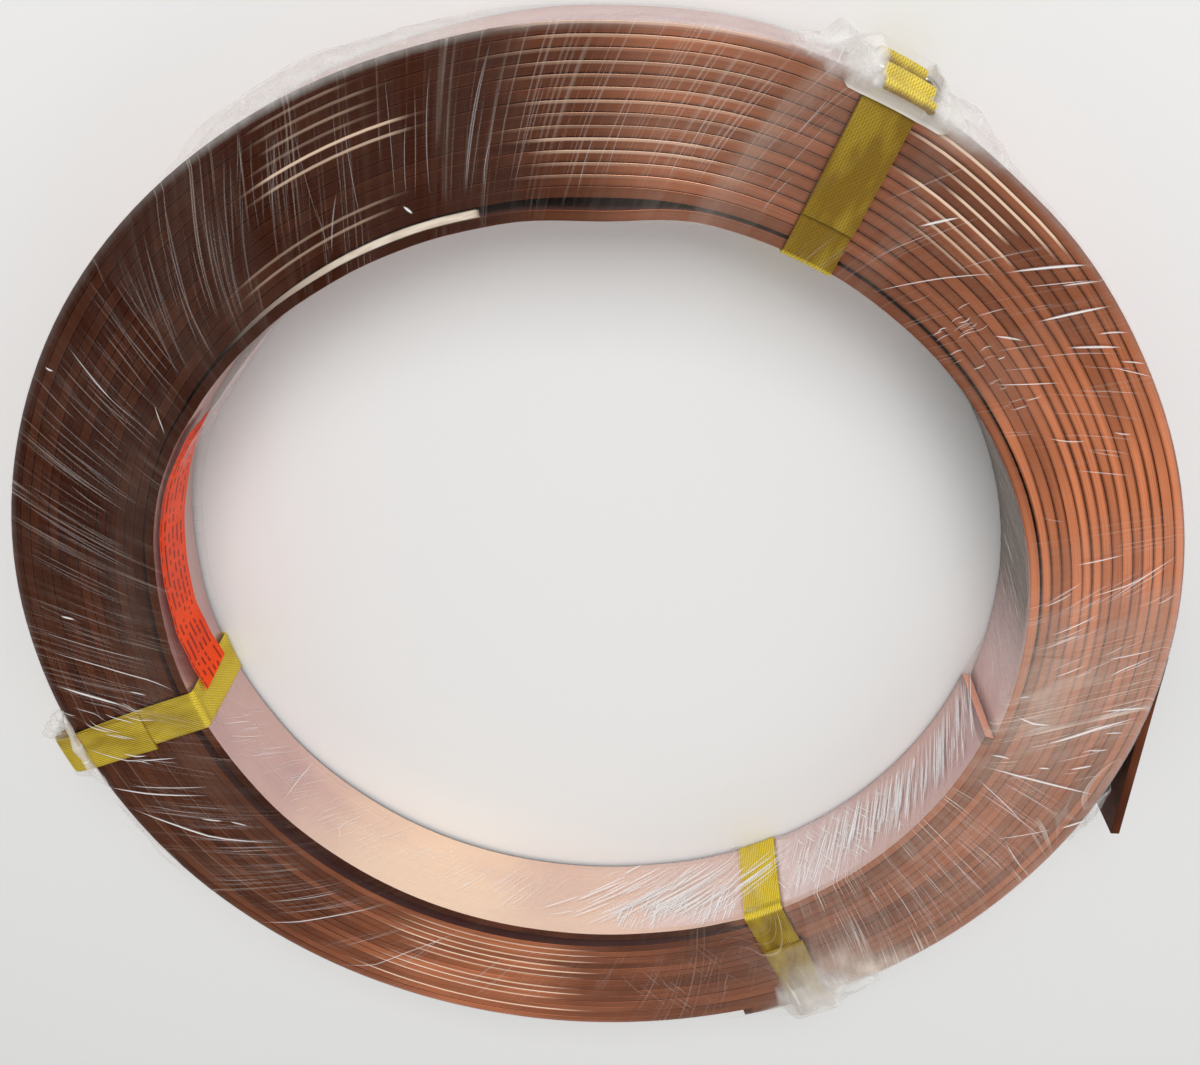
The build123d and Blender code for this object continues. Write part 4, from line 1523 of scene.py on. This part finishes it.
class COIL_OT_creases(bpy.types.Operator):
    """Raise the film's bold creases and scatter the fine ones"""

    bl_idname = "coil.creases"
    bl_label = "Film creases"

    def execute(self, context):
        rng = random.Random(context.scene.coil_film.seed)
        material = crease_finish()
        creases = (("face", FACE_CREASES, FACE_SCATTER), ("bore", BORE_CREASES, BORE_SCATTER))
        for kind, bold, scatter in creases:
            points, faces, fade = [], [], []
            for width, *knots in bold:
                line = crease_line(kind, knots, rng.uniform(-0.15, 0.15))
                crease_ribbon(line, width, min(1.0, 0.5 + 0.45 * width), points, faces, fade)
            for count, low_angle, high_angle, low, high, slant, shortest, longest, width, cover in scatter:
                for _ in range(count):
                    span = min(high - low, rng.uniform(shortest, longest))
                    start = rng.uniform(low + span, high)
                    angle = rng.uniform(low_angle, high_angle)
                    knots = ((angle, start), (angle - slant * span * rng.uniform(0.85, 1.15), start - span))
                    line = crease_line(kind, knots, rng.uniform(-0.3, 0.3))
                    shown = min(1.0, cover * rng.uniform(0.4, 1.4) * (2.2 if rng.random() < 0.08 else 1.0))
                    crease_ribbon(line, width * rng.uniform(0.6, 1.5), shown, points, faces, fade)
            piece = new_piece(f"film_creases_{kind}", points, faces, [material])
            note_numbers(piece, fade=fade)
            settle(piece, "film")
        return {"FINISHED"}


class COIL_OT_drawn_film(bpy.types.Operator):
    """Draw film tight over the gap behind the innermost turn and over the upper strap's shoulder"""

    bl_idname = "coil.drawn_film"
    bl_label = "Drawn film"

    def execute(self, context):
        self.span_gap(context.scene.coil_winding.thickness / MM)
        self.draw_collar()
        return {"FINISHED"}

    def span_gap(self, strip):
        """One layer of film over the gap behind the innermost turn, its tone a painted light that turns to
        painted shade along it.
        """
        rows, columns = 91, 7
        first, last = 101.3, 139.0
        points, lay, cover = [], [], []
        for row in range(rows):
            along = row / (rows - 1)
            angle = first + (last - first) * along
            inner = bore_reach(angle) + strip + 0.05
            outer = turn_reach(turns_at(angle) + 1) - 0.05
            ends = step(first, first + 0.6, angle) * step(last, 122, angle)
            for column in range(columns):
                share = column / (columns - 1)
                ripple = 0.12 * noise.noise(Vector((angle * 0.9, share * 1.5, 4.0)))
                points.append(ring_point(inner + (outer - inner) * share, angle, TOP + 0.75 + ripple))
                # The lay's third part is the share of painted shade along the gap
                lay.append((math.radians(angle) * 0.15, share * 0.003, along))
                cover.append(0.95 * step(0.0, 0.17, share) * step(1.0, 0.83, share) * ends)
        settle_sheet("film_span", points, columns, drawn_finish("film_over_gap"), lay, "fade", cover)

    def draw_collar(self):
        """Smooth layers of film from the upper face over the upper strap's first turn down the rim."""
        rows, columns = 49, 25
        left, right = 15.2, -19.2
        points, lay, cover = [], [], []
        for row in range(rows):
            across = right + (left - right) * row / (rows - 1)
            away = abs(across)
            ends = step(left, left - 3, across) * step(right, right + 4, across)
            beside = step(-8, -12, across)
            inner = RIM_SIDE - 1.7 * ends
            outer = RIM_SIDE + 5.2 + 3.6 * beside
            for column in range(columns):
                share = column / (columns - 1)
                reach = inner + (outer - inner) * share
                height = TOP + 3.0 - 2.0 * step(8, 13, away) - 6.0 * share ** 2.4
                angle = strap_angle("upper", RIM_SIDE) + math.degrees(across / reach)
                points.append(ring_point(reach, angle, height))
                # The lay's third part is the share of painted shade down the rim
                lay.append((across * MM, share * 0.009, 0.6 * share))
                # Painted highlight along the collar's brim: more of the lit tone there
                brim = 1 + 0.5 * step(0.16, 0.0, share)
                cover.append(0.56 * brim * step(0.9, 0.1 + 0.5 * beside, share) * ends)
        settle_sheet("film_collar", points, columns, drawn_finish("film_collar"), lay, "fade", cover)


def floor_finish():
    stage = bpy.context.scene.coil_stage
    finish = Finish("pale_floor")
    return finish.done(base_color=tuple(stage.floor), roughness=0.9, specular_ior_level=0.1)


def area_lamp(name, place, target, size, power):
    """Square lamp that shines from its place at its target."""
    lamp = bpy.data.lights.new(name, "AREA")
    lamp.size = size
    lamp.energy = power
    holder = bpy.data.objects.new(name, lamp)
    holder.location = place
    holder.rotation_euler = (Vector(target) - Vector(place)).to_track_quat("-Z", "Y").to_euler()
    bpy.context.scene.collection.objects.link(holder)


class COIL_OT_stage(bpy.types.Operator):
    """Set the camera, the pale floor, the even world light and the soft lamps"""

    bl_idname = "coil.stage"
    bl_label = "Stage"

    def execute(self, context):
        scene = context.scene
        stage = scene.coil_stage
        scene.view_settings.view_transform = "Standard"
        camera = bpy.data.cameras.new("camera")
        camera.sensor_width = CAMERA_SENSOR
        camera.lens = CAMERA_LENS
        camera.clip_start = 0.01
        holder = bpy.data.objects.new("camera", camera)
        right = Vector(CAMERA_RIGHT).normalized()
        forward = Vector(CAMERA_FORWARD).normalized()
        upward = right.cross(forward).normalized()
        turned = Matrix((right, upward, -forward)).transposed().to_4x4()
        lying = Vector((0, 0, copper_low.z))
        holder.matrix_world = Matrix.Translation(Vector(CAMERA_PLACE) + lying) @ turned
        scene.collection.objects.link(holder)
        scene.camera = holder
        half = FLOOR_HALF_WIDTH
        corners = [(-half, -half, 0), (half, -half, 0), (half, half, 0), (-half, half, 0)]
        new_piece("floor", corners, [(0, 1, 2, 3)], [floor_finish()], smooth=False)
        world = bpy.data.worlds.new("even_light")
        scene.world = world
        world.use_nodes = True
        tree = world.node_tree
        background = tree.nodes["Background"]
        background.inputs["Color"].default_value = (1, 1, 1, 1)
        background.inputs["Strength"].default_value = stage.world
        for name, place, target, size, power in LAMPS:
            area_lamp(name, place, target, size, power * stage.lamps)
        return {"FINISHED"}


class COIL_PT_panel(bpy.types.Panel):
    bl_label = "Strip Coil"
    bl_idname = "COIL_PT_panel"
    bl_space_type = "VIEW_3D"
    bl_region_type = "UI"
    bl_category = "Strip Coil"

    def draw(self, context):
        for group in SETTINGS:
            settings = getattr(context.scene, group)
            box = self.layout.box()
            for name in settings.__annotations__:
                box.prop(settings, name)
        for operator in OPERATORS:
            self.layout.operator(operator.bl_idname)


SETTINGS = {
    "coil_winding": WindingSettings,
    "coil_straps": StrapSettings,
    "coil_label": LabelSettings,
    "coil_film": FilmSettings,
    "coil_stage": StageSettings,
}
OPERATORS = (
    COIL_OT_stage,
    COIL_OT_winding,
    COIL_OT_free_end,
    COIL_OT_straps,
    COIL_OT_buckles,
    COIL_OT_label,
    COIL_OT_film,
    COIL_OT_gathers,
    COIL_OT_creases,
    COIL_OT_drawn_film,
)
CLASSES = tuple(SETTINGS.values()) + OPERATORS + (COIL_PT_panel,)


def register():
    for made in CLASSES:
        bpy.utils.register_class(made)
    for name, settings in SETTINGS.items():
        setattr(bpy.types.Scene, name, PointerProperty(type=settings))


def unregister():
    for name in SETTINGS:
        delattr(bpy.types.Scene, name)
    for made in reversed(CLASSES):
        bpy.utils.unregister_class(made)


def main():
    register()
    bpy.ops.coil.stage()
    bpy.ops.coil.winding()
    bpy.ops.coil.free_end()
    bpy.ops.coil.straps()
    bpy.ops.coil.buckles()
    bpy.ops.coil.label()
    bpy.ops.coil.film()
    bpy.ops.coil.gathers()
    bpy.ops.coil.creases()
    bpy.ops.coil.drawn_film()


if __name__ == "__main__":
    main()
